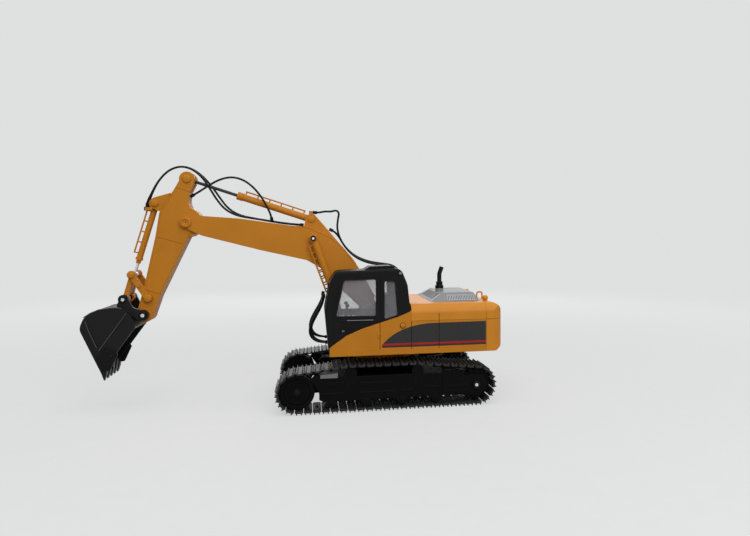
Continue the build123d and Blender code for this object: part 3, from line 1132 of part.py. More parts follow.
def bucket():
    """Open bucket: bent skin, two side plates, lip with teeth, ears and raised ribs."""
    outer = outline(BUCKET_OUTLINE)
    shell = along_y(outer, -BUCKET_HALF_WIDTH, BUCKET_HALF_WIDTH)
    room = offset(outer, amount=-BUCKET_SKIN)
    mouth = polygon(((-283.8, 94.8), (-290.6, 103.0), (-318.4, 58.4), (-315.0, 50.3), (-290.0, 60.0),
                     (-270.0, 90.0)))
    inside = BUCKET_HALF_WIDTH - BUCKET_SKIN
    shell -= along_y(room, -inside, inside) + along_y(mouth, -inside, inside)
    pitch = (2 * BUCKET_HALF_WIDTH - TOOTH_WIDTH) / (TOOTH_COUNT - 1)
    tooth = polygon(((-321.2, 52.4), (-311.8, 54.8), (-312.6, 44.6), (-315.0, 37.0), (-318.0, 45.4)))
    for number in range(TOOTH_COUNT):
        y = -BUCKET_HALF_WIDTH + number * pitch
        shell += along_y(tooth, y, y + TOOTH_WIDTH)
    rib_y = BUCKET_HALF_WIDTH + 1.1
    for start, stop in (((-292.5, 111.0), (-320.4, 70.6)), ((-333.2, 96.4), (-322.2, 71.2))):
        rib = bar(start, stop, 0.8, 0.8, BUCKET_HALF_WIDTH - 0.5, rib_y)
        shell += rib + mirrored(rib)
    ears = bucket_ear()
    return shell + ears + mirrored(ears)


def bucket_side_cutters():
    """Riveted plates beside the lip."""
    y = BUCKET_HALF_WIDTH
    plate = along_y(outline(((-324.4, 61.8, 1), (-313.2, 75.4, 1.5), (-303.2, 71.0, 1.5), (-300.6, 66.4, 1),
                             (-308.4, 48.6, 1), (-318.0, 47.4, 0.5))), y, y + 1.4)
    for spot in ((-317.7, 62.5), (-311.9, 69.9), (-307.4, 64.2), (-313.8, 54.5)):
        plate += disc(spot, 1.3, y + 1.4, y + 2.4)
    return both_sides(plate)


def bucket_pins():
    """Link pin through both ears with its heads."""
    y = EAR_INSIDE + EAR_THICKNESS
    head = screw_head(LINK_PIN, 2.8, y, 1.4)
    pin = disc(LINK_PIN, LINK_PIN_RADIUS, -y, y)
    return Compound([s for item in (pin, head, mirrored(head)) for s in item.solids()])


def make_front():
    half = boom_half()
    keep("boom_half_right", half)
    keep("boom_half_left", mirrored(half))
    half = stick_half()
    keep("stick_half_right", half)
    keep("stick_half_left", mirrored(half))
    for maker in (boom_cylinder_barrel, boom_cylinder_rod):
        keep(maker.__name__ + "_right", maker())
        keep(maker.__name__ + "_left", mirrored(maker()))
    makers = (boom_pins, stick_pins, stick_cylinder_barrel, stick_cylinder_rod, bucket_cylinder_barrel,
              bucket_cylinder_rod, rocker_bars, bucket_link, bucket, bucket_side_cutters, bucket_pins)
    for maker in makers:
        keep(maker.__name__, maker())


# ---------------------------------------------------------------- hoses

# Routes are (x, y, z) points chosen by hand; the tube has one arc at each inner point.
STICK_HOSE_ROUTES = (
    ((-275.2, -6, 233.8), (-275.2, -6, 240.0), (-271.6, -6, 247.6), (-264.2, -6, 263.2), (-253.4, -6, 276.6),
     (-240.0, -6, 282.8), (-227.0, -6, 280.3), (-215.2, -6, 271.0), (-206.4, -6, 257.4), (-198.4, -6, 243.6),
     (-188.8, -6, 231.6), (-175.2, -6, 224.4), (-158.0, -6, 221.6), (-138.5, -6, 218.6), (-117.5, -6, 215.2),
     (-97.0, -6, 213.6)),
    ((-275.2, 6, 233.8), (-275.8, 6, 241.0), (-273.2, 6, 249.6), (-266.2, 6, 265.4), (-254.8, 6, 278.8),
     (-241.6, 6, 284.0), (-228.6, 6, 281.6), (-216.0, 6, 272.6), (-205.2, 6, 259.8), (-196.0, 6, 246.0),
     (-187.0, 6, 233.6), (-174.0, 6, 225.4), (-157.0, 6, 221.8), (-137.5, 6, 218.4), (-116.5, 6, 215.0),
     (-97.0, 6, 213.6)),
    ((-227.3, -9.2, 246.2), (-220.6, -9.2, 250.4), (-208.8, -9.2, 258.6), (-196.4, -9.2, 266.8),
     (-182.4, -9.2, 271.0), (-169.0, -9.2, 268.4), (-156.8, -9.2, 260.0), (-146.0, -9.2, 246.6),
     (-138.6, -9.2, 232.6), (-135.0, -9.2, 223.4), (-134.2, -9.2, 217.8)),
)
BOOM_HOSE_ROUTES = (
    ((-86.3, -8, 229.2), (-80.0, -8, 228.6), (-71.5, -8, 230.6), (-63.5, -8, 230.2), (-58.0, -8, 232.2),
     (-53.8, -8, 229.0), (-55.6, -8, 220.5), (-56.6, -8, 208.5), (-52.4, -8, 195.2), (-43.0, -8, 181.4),
     (-31.0, -8, 171.6), (-16.6, -8, 166.0), (-1.6, -8, 163.8), (11.6, -8, 162.6), (20.0, -8, 156.4),
     (23.0, -8, 145.0), (22.6, -8, 131.5), (20.8, -8, 119.5), (20.6, -8, 110.5)),
    ((-66.0, -4, 208.6), (-60.6, -4, 206.6), (-54.6, -4, 200.2), (-49.0, -4, 190.0), (-41.0, -4, 180.4),
     (-29.6, -4, 172.6), (-15.6, -4, 167.6), (-0.6, -4, 165.4), (12.6, -4, 163.6), (20.8, -4, 157.0),
     (23.4, -4, 145.0), (22.8, -4, 131.5), (21.0, -4, 119.5), (20.8, -4, 110.5)),
)
CYLINDER_HOSE_ROUTES = (
    ((-72.9, 19.6, 129.4), (-72.8, 19.6, 123.4), (-76.0, 19.6, 113.8), (-81.6, 19.6, 103.4),
     (-86.8, 19.6, 93.4), (-88.2, 19.6, 84.0), (-84.6, 19.6, 76.6), (-77.0, 19.6, 72.2), (-66.7, 19.6, 70.8)),
    ((-72.9, 22.6, 129.4), (-73.6, 22.6, 122.8), (-77.6, 22.6, 113.4), (-83.4, 22.6, 103.6),
     (-88.8, 22.6, 93.0), (-90.2, 22.6, 82.8), (-86.0, 22.6, 75.2), (-77.6, 22.6, 71.2), (-66.7, 22.6, 70.8)),
)


def hose(route):
    """A round tube along straight runs joined by arcs as large as the runs allow."""
    points = [Vector(*p) for p in route]
    radii = []
    for before, here, after in zip(points, points[1:], points[2:]):
        run_in, run_out = here - before, after - here
        half_turn = radians(run_in.get_angle(run_out)) / 2
        radii.append(0.45 * min(run_in.length, run_out.length) / tan(half_turn))
    path = FilletPolyline(*route, radius=radii)
    return sweep(Plane(origin=path @ 0, z_dir=path % 0) * Circle(HOSE_RADIUS), path)


def make_hoses():
    keep("stick_hoses", Compound([s for r in STICK_HOSE_ROUTES for s in hose(r).solids()]))
    keep("boom_hoses", Compound([s for r in BOOM_HOSE_ROUTES for s in hose(r).solids()]))
    pair = Compound([s for r in CYLINDER_HOSE_ROUTES for s in hose(r).solids()])
    keep("cylinder_hoses", both_sides(pair))


def main():
    os.makedirs("parts", exist_ok=True)
    make_chassis()
    make_tracks()
    make_house()
    make_front()
    make_hoses()
    for name, shape in parts.items():
        export_step(Pos(SWING_X, 0, 0) * shape, f"parts/{name}.step")
    print(len(parts), "nodes")


main()
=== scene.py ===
"""Toy crawler excavator: materials, trim, hoses, floor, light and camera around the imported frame.

Trim is given in mm from the swing axis, x towards the rear and z up; y is 0 in the middle, with the left side
below it. Lights, textures and the floor are in metres.
"""
import json
import math

import bmesh
import bpy
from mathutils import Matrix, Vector


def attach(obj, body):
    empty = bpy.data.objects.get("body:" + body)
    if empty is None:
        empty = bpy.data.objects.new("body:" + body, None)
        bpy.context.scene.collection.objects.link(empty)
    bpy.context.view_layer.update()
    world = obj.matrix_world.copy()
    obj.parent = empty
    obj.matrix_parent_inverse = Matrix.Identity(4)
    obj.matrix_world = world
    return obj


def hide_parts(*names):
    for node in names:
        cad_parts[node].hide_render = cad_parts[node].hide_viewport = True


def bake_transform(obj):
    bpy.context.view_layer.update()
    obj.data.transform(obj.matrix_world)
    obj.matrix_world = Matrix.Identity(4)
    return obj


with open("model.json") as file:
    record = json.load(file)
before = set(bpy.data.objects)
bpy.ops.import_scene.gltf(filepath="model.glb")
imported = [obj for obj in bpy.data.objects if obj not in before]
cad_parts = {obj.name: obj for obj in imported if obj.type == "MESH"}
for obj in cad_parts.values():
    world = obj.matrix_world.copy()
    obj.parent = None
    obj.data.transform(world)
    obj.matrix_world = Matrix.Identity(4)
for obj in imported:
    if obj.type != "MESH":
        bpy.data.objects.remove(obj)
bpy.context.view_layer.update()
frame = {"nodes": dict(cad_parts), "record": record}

MM = 0.001
SIDES = ((-1, "left"), (1, "right"))
SWING_X = 100.0  # the swing axis lies this far behind the frame's origin

# the house
HOUSE_SIDE = 73.0  # half width over the side panels
HOUSE_REAR = 139.0
PANEL_SEAMS = (26.8, 59.7)
DOOR_SEAM = -10.0
COUNTERWEIGHT_FRONT = 117.8
RIM_TOP = 67.8
CREASE_Z = 100.6
FLANK_TOP = 108.8  # where the hood's flank turns over to its top

# half widths of the arm, and its pins as (x, z)
BOOM_SIDE = 15.0
STICK_SIDE = 11.6
BOOM_TIP = (-231.6, 215.9)
STICK_TOP = (-230.9, 267.3)
STICK_CYLINDER_BASE = (-87.7, 220.6)
BOOM_CYLINDER_TOP = (-85.5, 197.1)
BUCKET_CYLINDER_TOP = (-266.7, 238.1)
BUCKET_PIVOT = (-276.7, 108.7)
LINK_PIN = (-297.6, 127.3)
ROCKER_PIVOT = (-272.4, 127.8)
ROCKER_TOP = (-290.3, 155.1)
IDLER = (-103.5, 24.0)
SPROCKET = (103.5, 24.0)


def at(x, y, z):
    """A point given in mm from the swing axis, in the frame's metres."""
    return Vector(((x + SWING_X) * MM, y * MM, z * MM))


def link(name, data):
    """A new object for the data, in the scene."""
    obj = bpy.data.objects.new(name, data)
    bpy.context.scene.collection.objects.link(obj)
    return obj


# ---------------------------------------------------------------- materials

CLOUD_SCALE = 28.0
RUB_SCALE = 260.0
DRAWN_SCALE = 900.0
GRAIN_DEPTH = 0.0001
DRAWN_DEPTH = 0.00005
RIPPLE_DEPTH = 0.0004
DRAWN_EDGE = 0.0003
EDGE_CONTRAST = 3.0
COAT_ROUGHNESS = 0.32


def new_material(name, colour, roughness, metallic=0.0):
    """A material with its node tree and its shader, uniform until textures are added."""
    mat = bpy.data.materials.new(name)
    mat.use_nodes = True
    shader = mat.node_tree.nodes["Principled BSDF"]
    shader.inputs["Base Color"].default_value = (*colour, 1)
    shader.inputs["Roughness"].default_value = roughness
    shader.inputs["Metallic"].default_value = metallic
    return mat, mat.node_tree, shader


def add(tree, kind, **values):
    """A new node; each value goes to the input of that name, or else to the node's own setting."""
    node = tree.nodes.new(kind)
    for key, value in values.items():
        if key in node.inputs:
            node.inputs[key].default_value = value
        else:
            setattr(node, key, value)
    return node


def noise(tree, scale, detail, stretch=None):
    """Noise on object coordinates, stretched along an axis where asked for."""
    coords = add(tree, "ShaderNodeTexCoord").outputs["Object"]
    tex = add(tree, "ShaderNodeTexNoise", Scale=scale, Detail=detail)
    if stretch:
        mapping = add(tree, "ShaderNodeMapping", Scale=stretch)
        tree.links.new(coords, mapping.inputs["Vector"])
        coords = mapping.outputs["Vector"]
    tree.links.new(coords, tex.inputs["Vector"])
    return tex.outputs["Fac"]


def ramp(tree, source, low, high, socket):
    """Drive a socket with a colour that runs between two (position, colour) stops."""
    node = add(tree, "ShaderNodeValToRGB")
    for element, (place, colour) in zip(node.color_ramp.elements, (low, high)):
        element.position = place
        element.color = (*colour, 1)
    tree.links.new(source, node.inputs["Fac"])
    tree.links.new(node.outputs["Color"], socket)


def colour_mix(tree, factor, socket):
    """A mix of two colours that drives a socket; its two colour inputs are left to fill."""
    mix = add(tree, "ShaderNodeMix", data_type="RGBA")
    tree.links.new(factor, mix.inputs[0])
    tree.links.new(mix.outputs[2], socket)
    return mix.inputs[6], mix.inputs[7]


def grey(value):
    """A neutral colour; a lone value travels through a ramp as one."""
    return (value, value, value)


def shade(colour, factor):
    """The colour made darker or lighter."""
    return tuple(min(1.0, c * factor) for c in colour)


def rounded(tree, radius):
    """The surface's normal, turned over near sharp edges as if they were rounded."""
    return add(tree, "ShaderNodeBevel", samples=4, Radius=radius).outputs["Normal"]


def edge_wear_and_sheen(tree, normal):
    """0 on flat faces and towards 1 near sharp edges, from the rounded normal; it lightens edges as wear and
    as painted highlight.
    """
    geometry = add(tree, "ShaderNodeNewGeometry")
    dot = add(tree, "ShaderNodeVectorMath", operation="DOT_PRODUCT")
    tree.links.new(normal, dot.inputs[0])
    tree.links.new(geometry.outputs["Normal"], dot.inputs[1])
    sharp = add(tree, "ShaderNodeMath", operation="SUBTRACT")
    sharp.inputs[0].default_value = 1.0
    tree.links.new(dot.outputs["Value"], sharp.inputs[1])
    gain = add(tree, "ShaderNodeMath", operation="MULTIPLY", use_clamp=True)
    gain.inputs[1].default_value = EDGE_CONTRAST
    tree.links.new(sharp.outputs[0], gain.inputs[0])
    return gain.outputs[0]


def relief(tree, shader, height, strength, depth, normal=None):
    """Fine relief on the shader's normal, over another normal where there is one."""
    bump = add(tree, "ShaderNodeBump", Strength=strength, Distance=depth)
    tree.links.new(height, bump.inputs["Height"])
    if normal:
        tree.links.new(normal, bump.inputs["Normal"])
    tree.links.new(bump.outputs["Normal"], shader.inputs["Normal"])


def moulded(name, colour, roughness, grain, bump, edge=1.15, edge_radius=0.0005, specular=0.4, coat=0.0,
            mottle=0.05):
    """Moulded plastic: fine grain, faint cloudiness, polish marks in the gloss, and edges made lighter, part
    wear and part painted highlight.
    """
    mat, tree, shader = new_material(name, colour, roughness)
    normal = rounded(tree, edge_radius)
    plain, worn_and_lit = colour_mix(tree, edge_wear_and_sheen(tree, normal), shader.inputs["Base Color"])
    worn_and_lit.default_value = (*shade(colour, edge), 1)
    clouds, rub = noise(tree, CLOUD_SCALE, 3.0), noise(tree, RUB_SCALE, 5.0)
    ramp(tree, clouds, (0.3, shade(colour, 1 - mottle)), (0.7, shade(colour, 1 + mottle)), plain)
    ramp(tree, rub, (0.35, grey(roughness - 0.05)), (0.75, grey(roughness + 0.09)),
         shader.inputs["Roughness"])
    relief(tree, shader, noise(tree, grain, 2.0), bump, GRAIN_DEPTH, normal)
    shader.inputs["Specular IOR Level"].default_value = specular
    shader.inputs["Coat Weight"].default_value = coat
    shader.inputs["Coat Roughness"].default_value = COAT_ROUGHNESS
    return mat


def metal(name, colour, roughness, stretch):
    """Plated or drawn metal, with fine lines along the axis that stretch makes long."""
    mat, tree, shader = new_material(name, colour, roughness, 1.0)
    lines = noise(tree, DRAWN_SCALE, 3.0, stretch)
    ramp(tree, lines, (0.3, shade(colour, 0.86)), (0.7, shade(colour, 1.06)), shader.inputs["Base Color"])
    ramp(tree, lines, (0.3, grey(roughness + 0.1)), (0.7, grey(roughness - 0.05)), shader.inputs["Roughness"])
    relief(tree, shader, lines, 0.12, DRAWN_DEPTH, rounded(tree, DRAWN_EDGE))
    return mat


def clear_sheet(name, colour, roughness):
    """Thin clear plastic glazing with a pale haze and faint moulding ripples."""
    mat, tree, shader = new_material(name, colour, roughness)
    shader.inputs["Specular IOR Level"].default_value = 0.6
    ripple = noise(tree, 30.0, 2.0)
    relief(tree, shader, ripple, 0.08, RIPPLE_DEPTH)
    ramp(tree, ripple, (0.35, grey(0.2)), (0.75, grey(0.34)), shader.inputs["Alpha"])
    mat.surface_render_method = "BLENDED"
    return mat


ORANGE = (0.55, 0.206, 0.014)
# colour, roughness, grain scale and grain strength of each plastic, and what is special to it
PLASTICS = (
    ("orange_plastic", ORANGE, 0.44, 1500.0, 0.1, {"edge": 1.3, "specular": 0.16}),
    # a lighter copy of the orange: painted glare on the hood and counterweight
    ("hood_orange", shade(ORANGE, 1.18), 0.42, 1500.0, 0.08, {"edge": 1.25, "specular": 0.2, "coat": 0.1}),
    # the strong edge lightening of the blacks paints highlights along their ridges and on the shoes' edges
    ("black_plastic", (0.0095, 0.0095, 0.01), 0.4, 1300.0, 0.2, {"edge": 5.0, "specular": 0.07}),
    ("frame_black", (0.0028, 0.0028, 0.003), 0.4, 1100.0, 0.25, {"edge": 9.0, "specular": 0.06}),
    ("bucket_black", (0.0105, 0.0103, 0.0105), 0.38, 1000.0, 0.2,
     {"edge": 5.0, "edge_radius": 0.0007, "specular": 0.14}),
    ("track_plastic", (0.024, 0.0233, 0.0228), 0.42, 900.0, 0.3,
     {"edge": 4.0, "edge_radius": 0.0006, "specular": 0.2}),
    ("grey_plastic", (0.25, 0.25, 0.255), 0.5, 1300.0, 0.25, {"edge": 1.25}),
    ("grille_grey", (0.46, 0.47, 0.5), 0.4, 1300.0, 0.2, {"edge": 1.2}),
    ("gear_plastic", (0.7, 0.69, 0.63), 0.42, 1200.0, 0.12, {"edge": 1.05}),
    ("dark_rod", (0.022, 0.022, 0.024), 0.25, 1200.0, 0.08, {"edge": 1.8, "specular": 0.3}),
    ("hose_rubber", (0.0055, 0.0055, 0.006), 0.34, 1800.0, 0.2, {"edge": 1.3, "specular": 0.14}),
    ("battery_wrap", (0.03, 0.09, 0.36), 0.25, 800.0, 0.1, {}),
    ("board", (0.012, 0.12, 0.035), 0.3, 700.0, 0.15, {}),
    ("switch_plastic", (0.04, 0.04, 0.04), 0.42, 1200.0, 0.15, {}),
    ("decal_black", (0.026, 0.025, 0.0245), 0.32, 900.0, 0.04, {"specular": 0.25}),
    ("decal_red", (0.42, 0.012, 0.016), 0.32, 900.0, 0.04, {"specular": 0.25}),
    ("slot_dark", (0.004, 0.004, 0.0045), 0.6, 900.0, 0.2, {"specular": 0.08}),
    ("seam_brown", (0.16, 0.055, 0.012), 0.6, 900.0, 0.2, {"specular": 0.1}),
    ("ledge_grey", (0.2, 0.193, 0.19), 0.4, 1200.0, 0.15, {"edge": 1.4}),
    # a lighter grey that paints highlights on the bucket's rim and ribs
    ("satin_grey", (0.07, 0.069, 0.069), 0.32, 1000.0, 0.2, {"edge": 1.8, "mottle": 0.3}),
    # pale blocks that paint glints inside the cab's window
    ("worn_white", (0.62, 0.62, 0.61), 0.4, 700.0, 0.15, {"mottle": 0.2}),
)
MATERIALS = {name: moulded(name, *looks, **special) for name, *looks, special in PLASTICS}
MATERIALS["motor_case"] = metal("motor_case", (0.62, 0.62, 0.61), 0.32, (0.04, 1, 1))
MATERIALS["steel"] = metal("steel", (0.74, 0.74, 0.74), 0.24, (1, 0.04, 1))
MATERIALS["clear_plastic"] = clear_sheet("clear_plastic", (0.42, 0.42, 0.45), 0.08)

# nodes drawn in another tone than the rest of their material; the lighter orange of the hood and
# counterweight is painted glare
NODE_TONES = {"hood": "hood_orange", "counterweight": "hood_orange", "bucket": "bucket_black",
              "chassis_frame": "frame_black", "drive_motors": "frame_black"}
for _, word in SIDES:
    NODE_TONES.update({f"{part}_{word}": "frame_black" for part in ("track_frame", "idler", "sprocket")})
    NODE_TONES.update({f"bottom_roller_{word}_{i}": "frame_black" for i in range(1, 5)})


def dress_nodes():
    """Every CAD node takes the material of its slot, or its own tone."""
    slots = {s["node"]: s["material_slot"] for s in frame["record"]["subparts"]}
    for name, obj in frame["nodes"].items():
        mat = MATERIALS[NODE_TONES.get(name, slots[name])]
        if not obj.data.materials:
            obj.data.materials.append(mat)
        for slot in obj.material_slots:
            slot.material = mat


# ---------------------------------------------------------------- mesh helpers

STRIP_CREST = 0.6  # share of a raised line's width that its top keeps
MERGE = 1e-7  # metres
CORNER_STEPS = 6
CORNER_SHARE = 0.49  # the most of a run that the rounding of a corner takes up
TURN_STEPS = 32


def add_piece(name, mesh, material, body, angle):
    """An object for the mesh, smooth up to an angle in degrees, riding on its body where it has one."""
    obj = link(name, mesh)
    mesh.materials.append(MATERIALS[material])
    if angle:
        mesh.shade_smooth()
        mesh.set_sharp_from_angle(angle=math.radians(angle))
    if body:
        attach(obj, body)
    return obj


def add_mesh(name, verts, faces, material, body, angle=40):
    """A piece from points and faces, merged where points meet and with its faces turned outward."""
    mesh = bpy.data.meshes.new(name)
    mesh.from_pydata([tuple(v) for v in verts], [], faces)
    bm = bmesh.new()
    bm.from_mesh(mesh)
    bmesh.ops.remove_doubles(bm, verts=bm.verts, dist=MERGE)
    bmesh.ops.recalc_face_normals(bm, faces=bm.faces)
    bm.to_mesh(mesh)
    bm.free()
    return add_piece(name, mesh, material, body, angle)


def box_piece(name, x, y, z, material, body, bevel=0.3):
    """A small bevelled block from the first to the second of its limits each way."""
    bm = bmesh.new()
    bmesh.ops.create_cube(bm, size=1.0)
    low, high = (at(*corner) for corner in zip(x, y, z))
    for v in bm.verts:
        v.co = Vector((low[i] if v.co[i] < 0 else high[i]) for i in range(3))
    bmesh.ops.bevel(bm, geom=bm.edges[:], offset=bevel * MM, segments=2, affect="EDGES")
    mesh = bpy.data.meshes.new(name)
    bm.to_mesh(mesh)
    bm.free()
    return add_piece(name, mesh, material, body, angle=50)


def ring_faces(levels, count, closed=False):
    """Faces between successive rings of count points; the end rings are filled, or joined where closed."""
    faces = []
    for level in range(levels if closed else levels - 1):
        a, b = level * count, (level + 1) % levels * count
        for i in range(count):
            j = (i + 1) % count
            faces.append((a + i, a + j, b + j, b + i))
    if not closed:
        faces += [tuple(range(count)), tuple(range((levels - 1) * count, levels * count))]
    return faces


def arc(start, corner, end, steps):
    """Points from start to end on the quadratic arc that the corner pulls outward."""
    shares = [k / steps for k in range(steps + 1)]
    return [start * (1 - t) ** 2 + corner * 2 * t * (1 - t) + end * t ** 2 for t in shares]


def arc_points(points):
    """A smooth closed outline through corners given as (x, z, radius)."""
    out = []
    for i, (x, z, radius) in enumerate(points):
        here = Vector((x, z))
        a = Vector(points[i - 1][:2]) - here
        b = Vector(points[(i + 1) % len(points)][:2]) - here
        reach = min(radius / math.tan(a.angle(b) / 2), a.length * CORNER_SHARE, b.length * CORNER_SHARE)
        out += arc(here + a.normalized() * reach, here, here + b.normalized() * reach, CORNER_STEPS)
    return out


def inset(points, by):
    """An anticlockwise outline moved inward along its corners' normals."""
    moved = []
    for i, p in enumerate(points):
        run = (p - points[i - 1]).normalized() + (points[(i + 1) % len(points)] - p).normalized()
        moved.append(p + Vector((-run.y, run.x)).normalized() * by)
    return moved


def plate_y(name, outline, y_from, y_to, material, body, bevel):
    """A flat plate with an X-Z outline and softened edges on the side that shows, which is y_to."""
    outline = [Vector(p) for p in outline]
    area = sum(a.x * b.y - b.x * a.y for a, b in zip(outline, outline[1:] + outline[:1]))
    points = outline if area > 0 else outline[::-1]
    sign = 1 if y_to > y_from else -1
    rings = [(points, y_from), (points, y_to - sign * bevel), (inset(points, bevel), y_to)]
    verts = [at(p.x, y, p.y) for ring, y in rings for p in ring]
    return add_mesh(name, verts, ring_faces(len(rings), len(points)), material, body)


def strip_y(name, path, half, y_from, y_to, material, body, closed=False):
    """A raised line of a half width along X-Z points."""
    def crest(middle, p):
        return at(middle.x + (p.x - middle.x) * STRIP_CREST, y_to, middle.y + (p.y - middle.y) * STRIP_CREST)
    points = [Vector(p) for p in path]
    count = len(points)
    verts = []
    for i, p in enumerate(points):
        a = points[i - 1] if i > 0 or closed else p
        b = points[(i + 1) % count] if i < count - 1 or closed else p
        run = (b - a).normalized()
        out = Vector((-run.y, run.x)) * half
        left, right = p + out, p - out
        middle = (left + right) / 2
        verts += [at(left.x, y_from, left.y), crest(middle, left), crest(middle, right),
                  at(right.x, y_from, right.y)]
    return add_mesh(name, verts, ring_faces(count, 4, closed), material, body)


def lathe(name, spot, side, profile, material, body, closed=False, steps=TURN_STEPS):
    """A turned piece on one side of the object: profile holds (radius, height) outward from the spot.

    The spot's y is its distance from the middle, and closed makes the profile a ring.
    """
    x, y, z = spot
    centre = at(x, side * y, z)
    axis = Vector((0, side, 0))
    across = axis.orthogonal().normalized()
    other = axis.cross(across)
    verts = []
    for radius, height in profile:
        for k in range(steps):
            a = 2 * math.pi * k / steps
            spoke = across * math.cos(a) + other * math.sin(a)
            verts.append(centre + spoke * radius * MM + axis * height * MM)
    return add_mesh(name, verts, ring_faces(len(profile), steps, closed), material, body, angle=35)


def smooth_line(name, route):
    """Points of the NURBS curve that has the route as its control points."""
    curve = bpy.data.curves.new(name, "CURVE")
    curve.dimensions = "3D"
    curve.resolution_u = 8
    spline = curve.splines.new("NURBS")
    spline.points.add(len(route) - 1)
    for point, place in zip(spline.points, route):
        point.co = (*at(*place), 1)
    spline.order_u = 3
    spline.use_endpoint_u = True
    holder = link(name, curve)
    bpy.context.view_layer.update()
    mesh = bpy.data.meshes.new_from_object(holder)
    line = [v.co.copy() for v in mesh.vertices]
    bpy.data.objects.remove(holder)
    bpy.data.meshes.remove(mesh)
    return line


def tube_mesh(name, line, radius, material, sides=16, body=None):
    """A round tube along a line of points, with closed ends; its radius is in mm."""
    reach = radius * MM
    verts = []
    last = (line[1] - line[0]).normalized()
    side = (line[1] - line[0]).orthogonal().normalized()
    for i, p in enumerate(line):
        d = (line[min(i + 1, len(line) - 1)] - line[max(i - 1, 0)]).normalized()
        side = last.rotation_difference(d) @ side
        last = d
        other = d.cross(side)
        for k in range(sides):
            a = 2 * math.pi * k / sides
            verts.append(p + (side * math.cos(a) + other * math.sin(a)) * reach)
    return add_mesh(name, verts, ring_faces(len(line), sides), material, body, angle=60)


# ---------------------------------------------------------------- house trim

DECAL_NOSE = (-7.6, 73.0)
DECAL_LOW = 70.4
DECAL_TOP = ((-6.9, 74.5), (-0.5, 81.1), (10.7, 88.7), (26.8, 94.6), (42.9, 97.3), (59.7, 97.9),
             (117.0, 98.2))
DECAL_START = -20.0  # an upright line ahead of the nose
DECAL_SHOWN = 0.12  # how far the thin side decal stands off the panel
DECAL_SUNK = 0.05
DECAL_GAP = 0.3  # how far a decal keeps clear of a seam
SWOOSH_STEPS = 8
STRIPE = ((-7.4, 72.6), (COUNTERWEIGHT_FRONT - 1, 72.6), (COUNTERWEIGHT_FRONT - 1, 75.0), (-5.8, 75.0))
STRIPE_SHOWN = 0.06  # how far the stripe stands off the decal
STRIPE_SUNK = 0.02


def decal_outline():
    """The swoosh on a side panel: pointed at the front, square at the rear."""
    top = [Vector(p) for p in DECAL_TOP]
    curve = [top[0]]
    for before, corner, after in zip(top, top[1:-2], top[2:]):
        # arcs between the middles of the runs keep the curve smooth
        curve += arc((before + corner) / 2, corner, (corner + after) / 2, SWOOSH_STEPS)
    low = [Vector((x, DECAL_LOW)) for x in (top[-1].x, DECAL_NOSE[0])]
    return curve + [top[-1], *low, Vector(DECAL_NOSE)]


def between(points, x_from, x_to):
    """The part of an X-Z outline between two upright lines."""
    for x, sign in ((x_from, 1), (x_to, -1)):
        kept = []
        for p, q in zip(points, points[1:] + points[:1]):
            p_in, q_in = ((end.x - x) * sign >= 0 for end in (p, q))
            if p_in:
                kept.append(p)
            if p_in != q_in:
                kept.append(p + (q - p) * (x - p.x) / (q.x - p.x))
        points = kept
    return points


def side_decals():
    """Black swoosh and red stripe in three lengths, parted at the panel's seams."""
    seams = (DECAL_START, *PANEL_SEAMS, COUNTERWEIGHT_FRONT)
    swoosh, stripe = decal_outline(), [Vector(p) for p in STRIPE]
    for side, word in SIDES:
        face = side * HOUSE_SIDE
        shown = face + side * DECAL_SHOWN
        for i, (seam, next_seam) in enumerate(zip(seams, seams[1:])):
            x_from, x_to = seam + DECAL_GAP, next_seam - DECAL_GAP
            plate_y(f"decal_{word}_{i}", between(swoosh, x_from, x_to), face - side * DECAL_SUNK, shown,
                    "decal_black", "house", bevel=0.05)
            plate_y(f"decal_stripe_{word}_{i}", between(stripe, x_from, x_to), shown - side * STRIPE_SUNK,
                    shown + side * STRIPE_SHOWN, "decal_red", "house", bevel=0.02)


SEAM_HALF = 0.28
SEAM_BACK, SEAM_FACE = 0.48, 0.3  # how deep a seam's dark line starts and ends in the groove
# grooves down the panels and the hood's flank, as (x, z from, z to)
GROOVES = ((DOOR_SEAM, RIM_TOP, 99.0), *((x, RIM_TOP, CREASE_Z - 0.3) for x in PANEL_SEAMS),
           (PANEL_SEAMS[1], CREASE_Z + 0.3, FLANK_TOP))
# creases under the hood's flank, before the counterweight and over the floor's rim
CREASES = (((27.0, CREASE_Z), (COUNTERWEIGHT_FRONT, CREASE_Z)),
           ((COUNTERWEIGHT_FRONT, RIM_TOP), (COUNTERWEIGHT_FRONT, FLANK_TOP)),
           ((-67.0, RIM_TOP), (124.0, RIM_TOP)))
CREASE_HALF = 0.22
CREASE_SUNK, CREASE_SHOWN = 0.2, 0.04


def panel_seams():
    """Dark lines in the grooves of the panels and the hood, and along the creases."""
    for side, word in SIDES:
        depths = (side * (HOUSE_SIDE - SEAM_BACK), side * (HOUSE_SIDE - SEAM_FACE))
        for i, (x, z_from, z_to) in enumerate(GROOVES):
            box_piece(f"seam_{word}_{i}", (x - SEAM_HALF, x + SEAM_HALF), depths, (z_from, z_to), "slot_dark",
                      "house", bevel=0.02)
        for i, line in enumerate(CREASES):
            strip_y(f"crease_{word}_{i}", line, CREASE_HALF, side * (HOUSE_SIDE - CREASE_SUNK),
                    side * (HOUSE_SIDE + CREASE_SHOWN), "seam_brown", "house")


# dark sheets behind the engine cover's slots: painted shade for the dark seen through them
FRONT_SHEET = ((56.8, 120.2), (68.6, 127.6))  # (x, z) of its foot and its head
FRONT_SHEET_SIDE = 36
TOP_SHEET_X = (77.5, 106.5)
TOP_SHEET_Y = (31.3, 34.2)
TOP_SHEET_Z = 128.4
SHEET_THICKNESS = 0.4


